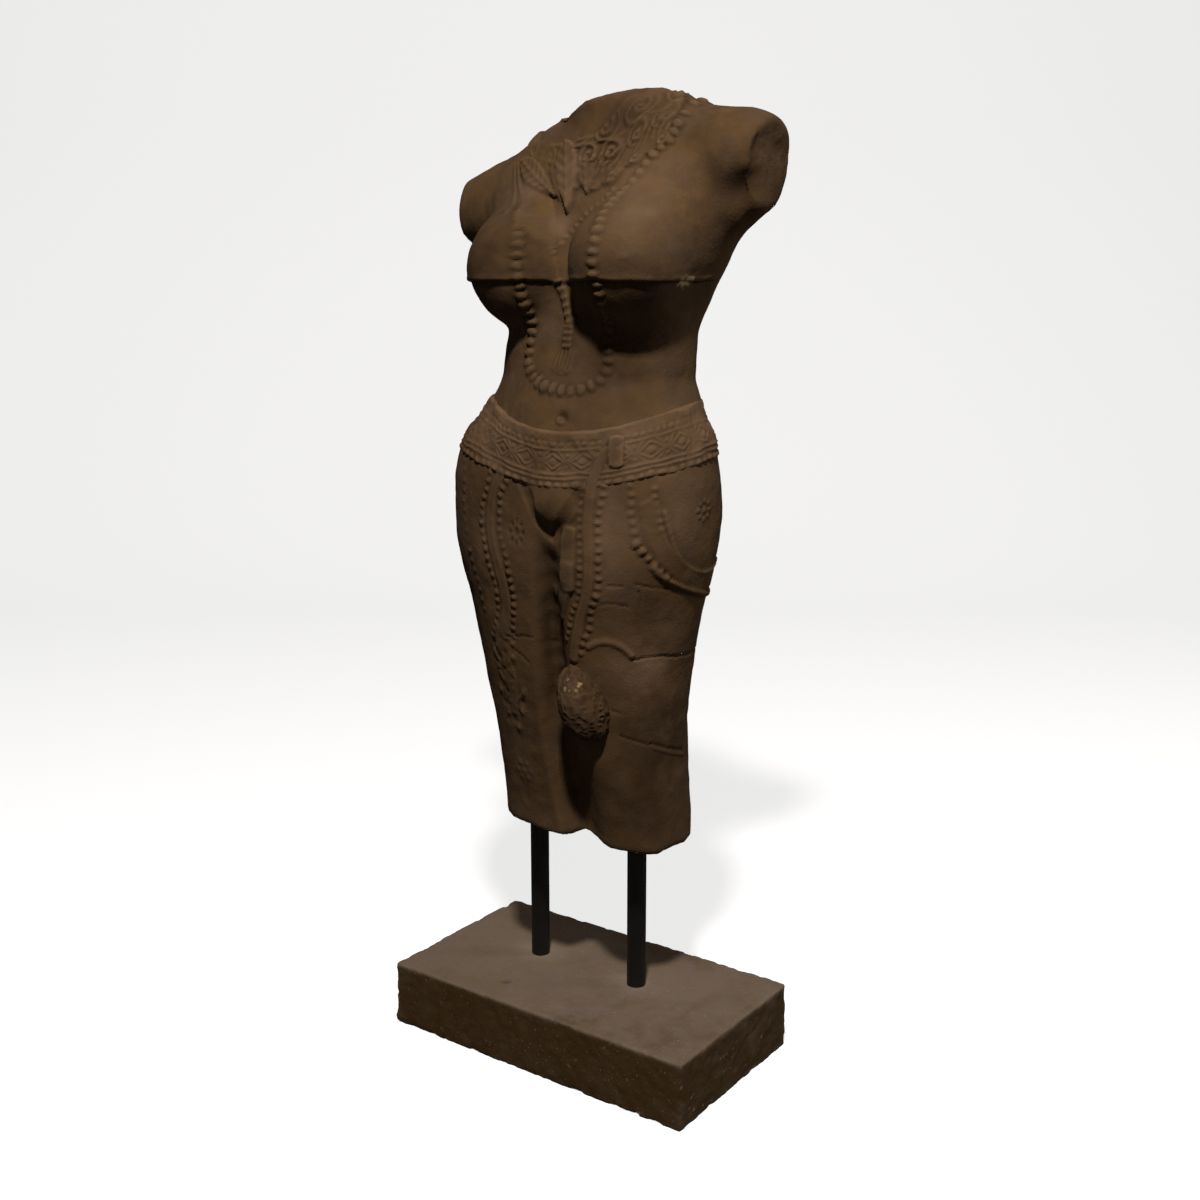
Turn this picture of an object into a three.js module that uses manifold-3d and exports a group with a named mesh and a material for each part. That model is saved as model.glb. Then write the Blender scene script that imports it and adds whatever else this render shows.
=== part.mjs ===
// A terracotta torso of a jewelled woman in a wrapped garment. It has no head or arms and ends at
// the knees. Two round rods hold it over a rough rectangular plinth.
// Millimetres, +Z up. The origin is the middle of the plinth's underside, the figure looks along -Y,
// and its own left side is +X.
import * as THREE from "three";
import { mergeVertices } from "three/addons/utils/BufferGeometryUtils.js";
import Module from "manifold-3d";

const wasm = await Module();
wasm.setup();

// Driving dimensions.
const PLINTH_LENGTH = 459;
const PLINTH_WIDTH = 256;
const PLINTH_HEIGHT = 87;
const PLINTH_CORNER = 4; // radius of the worn upright corners
const PLINTH_BEVEL = 2; // worn top and bottom edges
const ROD_DIAMETER = 25;
const ROD_SPACING = 160;
const ROD_MIDDLE_X = -11;
const ROD_MIDDLE_Y = 13;
const ROD_SHOWING = 215; // clear height between the plinth and the cut across the knees
const ROD_END_BEVEL = 2;
const ROD_SIDES = 16;
const PLINTH_SEAT_DEPTH = 40;
const FIGURE_SEAT_DEPTH = 45;
const FIT_GAP = 0.3; // between a rod and its seat, all round and at its end
const SEAT_MOUTH = 12; // how far a seat is cut past the face that it opens in
const FIGURE_X = 7; // the figure stands a little off the plinth's middle
const FIGURE_Y = -7;
const FIGURE_HEIGHT = 910; // from the cut across the knees to the top of the broken neck

// Proportions of the figure. They are drawn on a figure 910 high whose cut lies at height 0, and
// scaled to FIGURE_HEIGHT.
const CENTRE_LINE = [[9, 0, 17], [409, -8, 18], [589, 6, 18], [759, 10, 18], [909, 22, 18]]; // height, x, y
const drawnHeight = CENTRE_LINE.at(-1)[0] + 1;

// Level sections of the trunk: height, half width, half depth, centre x, centre y, roundness.
const TRUNK = [
  [-30, 126, 73, 4, 15, 3],
  [20, 126, 74, 3, 15, 3],
  [110, 128, 85, -5, 14, 2.6],
  [200, 141, 97, -12, 12, 2.3],
  [290, 158, 108, -14, 10, 2.2],
  [380, 178, 120, -15, 10, 2.2],
  [445, 180, 120, -15, 12, 2.2],
  [500, 169, 112, -11, 12, 2.2],
  [545, 141, 97, 0, 12, 2.2],
  [585, 126, 88, 6, 12, 2.2],
  [625, 126, 86, 9, 14, 2.2],
  [670, 138, 84, 12, 18, 2.2],
  [720, 155, 80, 20, 24, 2.2],
  [770, 173, 72, 25, 30, 2.2],
  [810, 160, 60, 16, 34, 2.2],
  [840, 120, 50, 16, 34, 2.1],
  [880, 70, 44, 20, 34, 2.0],
];

// The hollow between the legs: height, x, depth, reach towards the figure's left.
const LEG_HOLLOW = [
  [10, 12, 42, 42],
  [50, 4, 42, 42],
  [160, -5, 37, 34],
  [350, 6, 18, 18],
  [400, 7, 4, 15],
  [430, 8, 0, 14],
];
const LEG_HOLLOW_EDGE = 8; // its sharper side, on the figure's right

// The cut across the knees falls a little towards the figure's left.
const CUT_FALL = 0.04;
const CUT_LEVEL_X = -10;

// A row of the table at a height, by a monotone cubic through its rows.
function rowAt(table, height) {
  const last = table.length - 1;
  const h = Math.min(Math.max(height, table[0][0]), table[last][0]);
  let i = 0;
  while (i < last - 1 && h > table[i + 1][0]) i++;
  const slope = (k, j) => (table[k + 1][j] - table[k][j]) / (table[k + 1][0] - table[k][0]);
  const tangent = (k, j) => {
    if (k === 0 || k === last) return slope(k === 0 ? 0 : last - 1, j);
    const before = slope(k - 1, j);
    const after = slope(k, j);
    return before * after <= 0 ? 0 : (2 * before * after) / (before + after);
  };
  const span = table[i + 1][0] - table[i][0];
  const t = (h - table[i][0]) / span;
  return table[i].slice(1).map((from, k) => {
    const j = k + 1;
    const a = tangent(i, j) * span;
    const b = tangent(i + 1, j) * span;
    const rise = table[i + 1][j] - from;
    return from + t * (a + t * (3 * rise - 2 * a - b + t * (a + b - 2 * rise)));
  });
}

// Two distances joined by a fillet: the nearer one, or with smoothCut the farther one.
function smoothJoin(a, b, fillet) {
  const h = Math.max(fillet - Math.abs(a - b), 0) / fillet;
  return Math.min(a, b) - (h * h * fillet) / 4;
}
const smoothCut = (a, b, fillet) => -smoothJoin(-a, -b, fillet);

function smoothStep(from, to, value) {
  const t = Math.min(Math.max((value - from) / (to - from), 0), 1);
  return t * t * (3 - 2 * t);
}

// Distance outside an ellipsoid, close enough near its surface.
function ellipsoid([x, y, z], [cx, cy, cz], [rx, ry, rz]) {
  const whole = Math.hypot((x - cx) / rx, (y - cy) / ry, (z - cz) / rz);
  const steep = Math.hypot((x - cx) / rx ** 2, (y - cy) / ry ** 2, (z - cz) / rz ** 2) + 1e-9;
  return (whole * (whole - 1)) / steep;
}

// Distance outside a round limb that runs from a to b and changes radius.
function limb([x, y, z], a, b, radiusA, radiusB) {
  const [ux, uy, uz] = [b[0] - a[0], b[1] - a[1], b[2] - a[2]];
  const along = ((x - a[0]) * ux + (y - a[1]) * uy + (z - a[2]) * uz) / (ux * ux + uy * uy + uz * uz);
  const t = Math.min(Math.max(along, 0), 1);
  const away = Math.hypot(x - a[0] - t * ux, y - a[1] - t * uy, z - a[2] - t * uz);
  return away - radiusA - (radiusB - radiusA) * t;
}

function trunk([x, y, z]) {
  const [halfWidth, halfDepth, cx, cy, roundness] = rowAt(TRUNK, z);
  const u = Math.abs(x - cx) / halfWidth;
  const v = Math.abs(y - cy) / halfDepth;
  const reach = (u ** roundness + v ** roundness + 1e-9) ** (1 / roundness);
  const beyond = Math.max(z - TRUNK[TRUNK.length - 1][0], TRUNK[0][0] - z);
  return Math.max((reach - 1) * Math.min(halfWidth, halfDepth), beyond);
}

// The figure's left shoulder ends in a broken stump, and its right one is lower and rounder.
function shoulders(p) {
  const left = smoothJoin(
    limb(p, [40, 30, 869], [196, 34, 835], 42, 42),
    limb(p, [200, 34, 825], [246, 36, 822], 49, 40),
    24,
  );
  const right = smoothJoin(
    limb(p, [10, 30, 849], [-150, 38, 787], 36, 40),
    limb(p, [-150, 38, 781], [-216, 40, 775], 46, 43),
    24,
  );
  const leftBreak = p[0] - 225 - 0.18 * (p[2] - 819);
  const rightBreak = -(p[0] + 204) - 0.1 * (p[2] - 779);
  return smoothJoin(smoothCut(left, leftBreak, 6), smoothCut(right, rightBreak, 14), 30);
}

function breasts(p) {
  const right = smoothJoin(
    ellipsoid(p, [-62, -50, 706], [62, 66, 68]),
    limb(p, [-62, -50, 706], [-86, 14, 781], 56, 50),
    20,
  );
  const left = smoothJoin(
    ellipsoid(p, [94, -50, 711], [68, 70, 70]),
    limb(p, [94, -50, 711], [118, 16, 795], 60, 54),
    20,
  );
  return Math.min(right, left);
}

function legHollow([x, y, z]) {
  const [middle, depth, reach] = rowAt(LEG_HOLLOW, z);
  const off = x - middle;
  const width = off < 0 ? LEG_HOLLOW_EDGE : reach;
  return Math.exp(-((off / width) ** 2)) * depth * (y < 10 ? 0.8 : 0.5);
}

// Distance outside the figure's skin, without its ornament.
function skin(p) {
  let d = smoothJoin(trunk(p), shoulders(p), 44);
  d = smoothJoin(d, limb(p, [31, 38, 829], [40, 28, 959], 55, 53), 18);
  d = smoothJoin(d, ellipsoid(p, [14, 16, 789], [122, 52, 84]), 30);
  d = smoothJoin(d, breasts(p), 20);
  d = smoothJoin(d, ellipsoid(p, [8, -34, 524], [92, 64, 80]), 30);
  d = smoothJoin(d, ellipsoid(p, [-80, 62, 409], [80, 82, 96]), 26);
  d = smoothJoin(d, ellipsoid(p, [56, 62, 409], [80, 82, 96]), 26);
  d = smoothJoin(d, ellipsoid(p, [24, -89, 431], [36, 30, 28]), 7);
  d += legHollow(p);
  d = smoothCut(d, p[2] - 902 - 0.13 * (p[0] - 24), 6);
  return smoothCut(d, -p[2] - CUT_FALL * (p[0] - CUT_LEVEL_X), 4);
}

const MARCH_REACH = 330;
const MARCH_STEPS = 70;
const HALVINGS = 14;

// The outermost point of the skin on a ray.
function skinPoint(origin, direction) {
  const at = (t) => origin.map((o, k) => o + direction[k] * t);
  const step = MARCH_REACH / MARCH_STEPS;
  let inside = MARCH_REACH;
  while (inside > 0 && skin(at(inside)) >= 0) inside -= step;
  let outside = inside + step;
  for (let i = 0; i < HALVINGS; i++) {
    const middle = (inside + outside) / 2;
    if (skin(at(middle)) < 0) inside = middle;
    else outside = middle;
  }
  return at(inside);
}

// The skin's outward direction at a point.
function outward(p) {
  const e = 1.5;
  const slope = [0, 1, 2].map((k) => {
    const ahead = [...p];
    const behind = [...p];
    ahead[k] += e;
    behind[k] -= e;
    return (skin(ahead) - skin(behind)) / (2 * e);
  });
  const size = Math.hypot(...slope) || 1;
  return slope.map((s) => s / size);
}

// The skin's point near a given one.
function settle(p) {
  let at = [...p];
  for (let i = 0; i < 6; i++) {
    const d = skin(at);
    const n = outward(at);
    at = at.map((c, k) => c - 0.9 * d * n[k]);
  }
  return at;
}

// Skin points named as a sculptor would: seen from the front, or by the angle round the centre line,
// which is 0 at the front and grows towards the figure's left.
const fromFront = (x, height) => skinPoint([x, 60, height], [0, -1, 0]);
function around(degrees, height) {
  const [cx, cy] = rowAt(CENTRE_LINE, height);
  const a = THREE.MathUtils.degToRad(degrees);
  return skinPoint([cx, cy, height], [Math.sin(a), -Math.cos(a), 0]);
}

// The body is cast from rays that leave the centre line level, fan out over the top and bottom, and
// spread and dip at the shoulders so that the armpits are reached.
const FAN_LOW = 29;
const FAN_HIGH = 817;
const BOTTOM_FAN = 94;
const TOP_FAN = 149;
const SHOULDER_SPREAD = 112;
const ARMPIT_DIP = THREE.MathUtils.degToRad(52);
const BODY_SIDES = 38;
const BODY_ROWS = 48;

function bodyPoint(angle, travel) {
  const height = Math.min(Math.max(travel, FAN_LOW), FAN_HIGH);
  let lift = 0;
  if (travel < FAN_LOW) lift = ((travel - FAN_LOW) / BOTTOM_FAN) * (Math.PI / 2);
  if (travel > FAN_HIGH) lift = ((travel - FAN_HIGH) / TOP_FAN) * (Math.PI / 2);
  const [cx, cy] = rowAt(CENTRE_LINE, height);
  const spread = smoothStep(609, 759, height) * SHOULDER_SPREAD * Math.sin(angle) * Math.cos(Math.max(lift, 0));
  const dip = ARMPIT_DIP * smoothStep(669, 769, travel) * (1 - smoothStep(769, FAN_HIGH, travel));
  const tilt = lift - dip * Math.abs(Math.sin(angle)) ** 3;
  const level = Math.cos(tilt);
  const direction = [Math.sin(angle) * level, -Math.cos(angle) * level, Math.sin(tilt)];
  return skinPoint([cx + spread, cy, height], direction);
}

// A closed mesh as a manifold-3d solid.
function solid(geometry) {
  const bare = geometry.clone();
  bare.deleteAttribute("normal");
  bare.deleteAttribute("uv");
  const merged = mergeVertices(bare, 1e-4);
  return new wasm.Manifold(
    new wasm.Mesh({
      numProp: 3,
      vertProperties: new Float32Array(merged.attributes.position.array),
      triVerts: new Uint32Array(merged.index.array),
    }),
  );
}

// A closed solid from rings of points, each ring with as many points, turning the same way. The
// ends are fans, and a loop joins the last ring to the first.
function ringSolid(rings, loop = false) {
  const sides = rings[0].length;
  const points = rings.flat();
  const faces = [];
  const bands = loop ? rings.length : rings.length - 1;
  for (let i = 0; i < bands; i++) {
    const next = (i + 1) % rings.length;
    for (let j = 0; j < sides; j++) {
      const k = (j + 1) % sides;
      const [a, b, c, d] = [i * sides + j, i * sides + k, next * sides + k, next * sides + j];
      faces.push(a, b, c, a, c, d);
    }
  }
  if (!loop) {
    const last = (rings.length - 1) * sides;
    for (let j = 1; j < sides - 1; j++) {
      faces.push(0, j + 1, j);
      faces.push(last, last + j, last + j + 1);
    }
  }
  const geometry = new THREE.BufferGeometry();
  geometry.setAttribute("position", new THREE.Float32BufferAttribute(points.flat(), 3));
  geometry.setIndex(faces);
  const made = solid(geometry);
  if (made.volume() > 0) return made;
  for (let i = 0; i < faces.length; i += 3) [faces[i + 1], faces[i + 2]] = [faces[i + 2], faces[i + 1]];
  geometry.setIndex(faces);
  return solid(geometry);
}

function body() {
  const rings = [];
  const low = FAN_LOW - BOTTOM_FAN * 0.97;
  const high = FAN_HIGH + TOP_FAN * 0.97;
  for (let i = 0; i < BODY_ROWS; i++) {
    const travel = low + ((high - low) * i) / (BODY_ROWS - 1);
    const ring = [];
    for (let j = 0; j < BODY_SIDES; j++) ring.push(bodyPoint((2 * Math.PI * j) / BODY_SIDES, travel));
    rings.push(ring);
  }
  return ringSolid(rings);
}

// Skin points at an even pitch along a smooth path through chosen skin points.
function path(points, pitch, closed = false) {
  const curve = new THREE.CatmullRomCurve3(points.map((p) => new THREE.Vector3(...p)), closed, "centripetal");
  const steps = Math.max(2, Math.round(curve.getLength() / pitch));
  const spaced = curve.getSpacedPoints(steps).map((v) => settle(v.toArray()));
  return closed ? spaced.slice(0, -1) : spaced;
}

const lift = (p, n, height) => p.map((c, k) => c + n[k] * height);

// A raised band on the skin along a path. Its width may change from one end to the other.
function band(points, { width, endWidth = width, proud, pitch = 24, closed = false, across = 1 }) {
  const SUNK = 5;
  const spine = path(points, pitch, closed);
  const count = spine.length;
  const rings = spine.map((p, i) => {
    const from = spine[closed ? (i + count - 1) % count : Math.max(i - 1, 0)];
    const to = spine[closed ? (i + 1) % count : Math.min(i + 1, count - 1)];
    const normal = new THREE.Vector3(...outward(p));
    const side = new THREE.Vector3(...to).sub(new THREE.Vector3(...from)).cross(normal).normalize();
    const here = width + ((endWidth - width) * i) / Math.max(count - 1, 1);
    const edge = [];
    for (let k = 0; k <= across; k++) edge.push(settle(lift(p, side.toArray(), here * (k / across - 0.5))));
    const top = edge.map((q) => lift(q, outward(q), proud));
    const under = edge.map((q) => lift(q, outward(q), -SUNK)).reverse();
    return [...top, ...under];
  });
  return ringSolid(rings, closed);
}

// One stud sunk into the skin: a faceted bead, stretched to its three half sizes.
const STUD_SUNK = 3;
function stud(p, [halfWidth, halfHeight, proud]) {
  const n = new THREE.Vector3(...outward(p));
  const turn = new THREE.Quaternion().setFromUnitVectors(new THREE.Vector3(0, -1, 0), n);
  const geometry = new THREE.OctahedronGeometry(1);
  geometry.scale(halfWidth, proud + STUD_SUNK, halfHeight);
  geometry.applyQuaternion(turn);
  geometry.translate(...lift(p, n.toArray(), -STUD_SUNK));
  return solid(geometry);
}

const BEAD = [8, 8, 6.5];
const SMALL_BEAD = [6.5, 6.5, 5.5];
const beads = (points, pitch, size, closed = false) => path(points, pitch, closed).map((p) => stud(p, size));

// The belt's level changes with the angle: lowest a little to the figure's left of the front, and
// level at the sides and back.
const BELT_LOWEST_ANGLE = 15;
const BELT_RISE = 32;
const BELT_FRONT_HEIGHT = 487.5;
const BELT_WIDTH = 68;
function beltPoint(degrees, offset) {
  const turned = Math.abs(((degrees - BELT_LOWEST_ANGLE + 540) % 360) - 180);
  const rise = BELT_RISE * (0.5 - 0.5 * Math.cos((Math.min(turned / 90, 1)) * Math.PI));
  return around(degrees, BELT_FRONT_HEIGHT + rise + offset);
}
const beltLoop = (offset) => Array.from({ length: 24 }, (_, i) => beltPoint(i * 15, offset));

function belt() {
  const ridge = { width: 8, proud: 6, pitch: 32, closed: true };
  return [
    band(beltLoop(0), { width: BELT_WIDTH, proud: 3, pitch: 32, closed: true, across: 2 }),
    band(beltLoop(28), ridge),
    band(beltLoop(-18), ridge),
    ...beads(beltLoop(-30), 26, SMALL_BEAD, true),
    ...beads(beltLoop(4), 46, [12, 8, 6], true),
  ];
}

// The long necklace is one closed strand. Its points are chosen from the front, and behind the neck.
function longNecklace() {
  const front = [
    [128, 852], [116, 837], [102, 815], [91, 793], [91, 770], [94, 747], [94, 722], [94, 697], [93, 672],
    [84, 648], [72, 626], [75, 607], [74, 587], [66, 576], [46, 568], [20, 568], [-12, 577], [-32, 593],
    [-36, 609], [-34, 630], [-30, 652], [-26, 672], [-24, 690], [-26, 710], [-27, 732], [-39, 761],
    [-56, 784], [-76, 808],
  ].map(([x, height]) => fromFront(x, height));
  const behind = [[-92, 40, 850], [-60, 76, 850], [0, 84, 850], [70, 80, 862], [126, 46, 868]].map(settle);
  return beads([...front, ...behind], 21, BEAD, true);
}

function chestOrnaments() {
  const seen = (list) => list.map(([x, height]) => fromFront(x, height));
  const collar = seen([[-74, 832], [-34, 828], [12, 830], [58, 844], [100, 856]]);
  const pointed = seen([[-78, 825], [-54, 787], [-12, 742], [0, 727], [18, 754], [35, 770], [55, 783]]);
  const strap = seen([[3, 712], [6, 692], [16, 665], [24, 646]]);
  const tassel = seen([[24, 648], [23, 625], [21, 594]]);
  const leaf = seen([[4, 850], [6, 810], [9, 770]]);
  return [
    band(collar, { width: 56, proud: 4, across: 2 }),
    band(leaf, { width: 34, endWidth: 6, proud: 7 }),
    band(pointed, { width: 8, proud: 4, pitch: 14 }),
    band(strap, { width: 11, proud: 6 }),
    band(tassel, { width: 13, endWidth: 32, proud: 5 }),
    stud(fromFront(24, 647), [9, 8, 10]),
    stud(fromFront(34, 535), [8, 8, 3]),
  ];
}

// The sash on the figure's right thigh, with a row of beads on each edge and a swallow-tail end.
function rightSash() {
  const seen = (list) => list.map(([x, height]) => fromFront(x, height));
  const outer = seen([[-75, 452], [-88, 416], [-84, 386], [-74, 350], [-68, 316], [-76, 280], [-88, 256]]);
  const inner = seen([[-42, 460], [-54, 438], [-55, 405], [-46, 372], [-39, 332], [-42, 295], [-50, 256]]);
  const middle = seen([[-45, 500], [-58, 458], [-69, 421], [-70, 395], [-60, 358], [-54, 325], [-58, 290], [-66, 258]]);
  const tail = seen([[-64, 262], [-66, 230], [-74, 190], [-78, 150]]);
  return [
    band(middle, { width: 24, proud: 3 }),
    band(tail, { width: 40, endWidth: 10, proud: 6 }),
    ...beads(outer, 20, SMALL_BEAD),
    ...beads(inner, 20, SMALL_BEAD),
  ];
}

// The sash on the inside of the left thigh. It hangs from a knot on the belt and ends in a fat
// carved tassel that stands clear of the leg.
function leftSash() {
  const seen = (list) => list.map(([x, height]) => fromFront(x, height));
  const outer = seen([[92, 478], [87, 448], [82, 410], [83, 365], [78, 332], [66, 300], [54, 266]]);
  const inner = seen([[62, 440], [61, 395], [58, 345], [48, 312], [34, 275]]);
  const middle = seen([[91, 502], [79, 476], [72, 448], [71, 390], [69, 350], [60, 313], [49, 280], [42, 250]]);
  const fold = seen([[46, 408], [44, 362], [34, 330], [18, 300], [8, 262]]);
  const TASSEL = { x: 49, height: 192, halfWidth: 28, halfHeight: 47, proud: 38, setBack: 1 };
  const tassel = new THREE.SphereGeometry(1, 10, 8);
  tassel.rotateX(Math.PI / 2);
  tassel.scale(TASSEL.halfWidth, TASSEL.proud, TASSEL.halfHeight);
  tassel.translate(TASSEL.x, fromFront(TASSEL.x, TASSEL.height)[1] + TASSEL.setBack, TASSEL.height);
  return [
    band(middle, { width: 20, proud: 4 }),
    band(fold, { width: 14, proud: 4 }),
    stud(fromFront(92, 500), [16, 12, 10]),
    solid(tassel),
    ...beads(outer, 20, SMALL_BEAD),
    ...beads(inner, 20, SMALL_BEAD),
  ];
}

// The swag of cloth on the left hip, edged with beads.
function hipSwag() {
  const outer = [[53, 440], [54, 412], [56, 390], [61, 370], [66, 354], [75, 340], [90, 324], [106, 320]];
  const middle = [[58, 450], [60, 418], [63, 396], [68, 374], [76, 354], [87, 340], [100, 336]];
  const placed = (list) => list.map(([degrees, height]) => around(degrees, height));
  return [band(placed(middle), { width: 18, proud: 3 }), ...beads(placed(outer), 20, SMALL_BEAD)];
}

function torsoSolid() {
  const ornaments = [
    ...belt(),
    ...longNecklace(),
    ...chestOrnaments(),
    ...rightSash(),
    ...leftSash(),
    ...hipSwag(),
  ];
  const share = FIGURE_HEIGHT / drawnHeight;
  return ornaments.reduce((whole, piece) => whole.add(piece), body()).scale([share, share, share]);
}

const FIGURE_BASE = PLINTH_HEIGHT + ROD_SHOWING;
const ROD_PLACES = [
  { name: "right_mounting_rod", x: ROD_MIDDLE_X - ROD_SPACING / 2 },
  { name: "left_mounting_rod", x: ROD_MIDDLE_X + ROD_SPACING / 2 },
];

// A cylinder standing on a level, as a solid.
function upright(diameter, bottom, top, x, y) {
  const geometry = new THREE.CylinderGeometry(diameter / 2, diameter / 2, top - bottom, ROD_SIDES);
  geometry.rotateX(Math.PI / 2);
  geometry.translate(x, y, (bottom + top) / 2);
  return solid(geometry);
}

function withSeats(piece, bottom, top) {
  const diameter = ROD_DIAMETER + 2 * FIT_GAP;
  return ROD_PLACES.reduce(
    (left, { x }) => left.subtract(upright(diameter, bottom, top, x, ROD_MIDDLE_Y)),
    piece,
  );
}

function plinthSolid() {
  const [halfLength, halfWidth] = [PLINTH_LENGTH / 2, PLINTH_WIDTH / 2];
  const inset = PLINTH_BEVEL;
  const r = PLINTH_CORNER;
  const outline = new THREE.Shape();
  const [x, y] = [halfLength - inset, halfWidth - inset];
  outline.absarc(x - r, -y + r, r, -Math.PI / 2, 0, false);
  outline.absarc(x - r, y - r, r, 0, Math.PI / 2, false);
  outline.absarc(-x + r, y - r, r, Math.PI / 2, Math.PI, false);
  outline.absarc(-x + r, -y + r, r, Math.PI, 1.5 * Math.PI, false);
  const block = new THREE.ExtrudeGeometry(outline, {
    depth: PLINTH_HEIGHT - 2 * inset,
    bevelThickness: inset,
    bevelSize: inset,
    bevelSegments: 1,
    curveSegments: 2,
  });
  block.translate(0, 0, inset);
  return withSeats(solid(block), PLINTH_HEIGHT - PLINTH_SEAT_DEPTH - FIT_GAP, PLINTH_HEIGHT + SEAT_MOUTH);
}

// A rod with bevelled ends, turned from its profile.
function rodGeometry() {
  const bottom = PLINTH_HEIGHT - PLINTH_SEAT_DEPTH;
  const top = FIGURE_BASE + FIGURE_SEAT_DEPTH;
  const radius = ROD_DIAMETER / 2;
  const profile = [
    new THREE.Vector2(0, bottom),
    new THREE.Vector2(radius - ROD_END_BEVEL, bottom),
    new THREE.Vector2(radius, bottom + ROD_END_BEVEL),
    new THREE.Vector2(radius, top - ROD_END_BEVEL),
    new THREE.Vector2(radius - ROD_END_BEVEL, top),
    new THREE.Vector2(0, top),
  ];
  return new THREE.LatheGeometry(profile, ROD_SIDES).rotateX(Math.PI / 2);
}

// A three.js mesh from a manifold-3d solid.
function meshOf(name, made, material) {
  const { vertProperties, triVerts } = made.getMesh();
  const geometry = new THREE.BufferGeometry();
  geometry.setAttribute("position", new THREE.BufferAttribute(vertProperties, 3));
  geometry.setIndex(new THREE.BufferAttribute(triVerts, 1));
  geometry.computeVertexNormals();
  const mesh = new THREE.Mesh(geometry, material);
  mesh.name = name;
  return mesh;
}

const terracotta = new THREE.MeshStandardMaterial({ color: 0x6e5644, roughness: 0.9, metalness: 0 });
const plinthClay = new THREE.MeshStandardMaterial({ color: 0x5f4c3d, roughness: 0.95, metalness: 0 });
const blackPaint = new THREE.MeshStandardMaterial({ color: 0x16130f, roughness: 0.5, metalness: 0.2 });

const group = new THREE.Group();
group.name = "terracotta_torso_on_plinth";

const torso = torsoSolid().translate([FIGURE_X, FIGURE_Y, FIGURE_BASE]);
const seatTop = FIGURE_BASE + FIGURE_SEAT_DEPTH + FIT_GAP;
group.add(meshOf("torso", withSeats(torso, FIGURE_BASE - SEAT_MOUTH, seatTop), terracotta));
group.add(meshOf("plinth", plinthSolid(), plinthClay));
for (const { name, x } of ROD_PLACES) {
  const rod = new THREE.Mesh(rodGeometry(), blackPaint);
  rod.name = name;
  rod.position.set(x, ROD_MIDDLE_Y, 0);
  group.add(rod);
}

export default group;
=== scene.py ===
"""Looks of a terracotta torso that two black rods hold over a rough plinth.

The torso's form is a skin: a distance worked out from level sections and a few round masses. Every
carved detail is a height over that skin, so the carving is part of the same clay. Lengths are in
millimetres on the figure as it was drawn, whose cut across the knees is at height 0, and a piece is
put into metres and into its place when its mesh is made.
"""

from __future__ import annotations

import logging
import math
from dataclasses import dataclass, field
from enum import Enum

import bpy
import numpy as np
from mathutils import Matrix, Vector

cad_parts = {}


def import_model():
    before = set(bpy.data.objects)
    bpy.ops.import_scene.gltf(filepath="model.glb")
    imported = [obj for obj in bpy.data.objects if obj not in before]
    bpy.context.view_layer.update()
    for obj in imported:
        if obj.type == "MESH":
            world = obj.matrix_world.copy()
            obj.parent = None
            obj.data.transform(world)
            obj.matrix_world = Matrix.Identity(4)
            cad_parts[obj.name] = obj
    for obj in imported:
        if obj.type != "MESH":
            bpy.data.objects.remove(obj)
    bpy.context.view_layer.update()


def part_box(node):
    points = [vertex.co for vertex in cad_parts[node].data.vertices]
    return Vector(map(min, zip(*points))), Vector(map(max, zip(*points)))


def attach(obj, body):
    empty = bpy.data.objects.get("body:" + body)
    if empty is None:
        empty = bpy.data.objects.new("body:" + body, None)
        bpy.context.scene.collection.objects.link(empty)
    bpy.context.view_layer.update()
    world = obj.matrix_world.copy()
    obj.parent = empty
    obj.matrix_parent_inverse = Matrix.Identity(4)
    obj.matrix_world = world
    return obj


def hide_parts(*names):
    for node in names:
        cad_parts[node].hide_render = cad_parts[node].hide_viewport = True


LOG = logging.getLogger("torso")
Points = np.ndarray
Spot = tuple[float, float]
Trio = tuple[float, float, float]
Socket = bpy.types.NodeSocket

MM = 0.001
DRAWN_LOW = (-209.3, -127.7, -3.15)
DRAWN_HIGH = (232.8, 144.4, 909.0)
FAN_LOW, FAN_HIGH = 29.0, 817.0
FAN_BOTTOM, FAN_TOP = 94.0, 149.0
WAIST_LOW, WAIST_HIGH = 494.0, 516.0
FRONT_ANGLE = 22.0


def smooth_join(a: Points, b: Points, fillet: float) -> Points:
    """Join two distances: the nearer one, rounded where they meet.

    Args:
        a: Distances outside the first form.
        b: Distances outside the second form.
        fillet: How far the rounding reaches.

    Returns:
        Distances outside the joined form.
    """
    near = np.maximum(fillet - np.abs(a - b), 0.0) / fillet
    return np.minimum(a, b) - near * near * fillet / 4.0


def smooth_cut(a: Points, b: Points, fillet: float) -> Points:
    """Cut one distance by another: the farther one, rounded where they meet."""
    return -smooth_join(-a, -b, fillet)


def smooth_step(start: float, end: float, value: Points) -> Points:
    """Ease from 0 at start to 1 at end, by 3t squared minus 2t cubed."""
    t = np.clip((value - start) / (end - start), 0.0, 1.0)
    return t * t * (3.0 - 2.0 * t)


def bell(off: Points, width: Points | float) -> Points:
    """A bell curve: 1 in the middle, and 1/e at the width."""
    return np.exp(-((off / width) ** 2))


def dome(off: Points, power: float = 2.0) -> Points:
    """The height of a dome: 1 in the middle, falling by a power of the way out to 0 at 1."""
    return np.sqrt(np.clip(1.0 - off**power, 0.0, 1.0))


def blur(grid: Points, times: int) -> Points:
    """Average a grid's points with those beside them, round its columns and up its rows."""
    soft = grid.copy()
    for _ in range(times):
        soft = (soft + np.roll(soft, 1, axis=1) + np.roll(soft, -1, axis=1)) / 3.0
        soft[1:-1] = (soft[1:-1] + soft[:-2] + soft[2:]) / 3.0
    return soft


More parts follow.
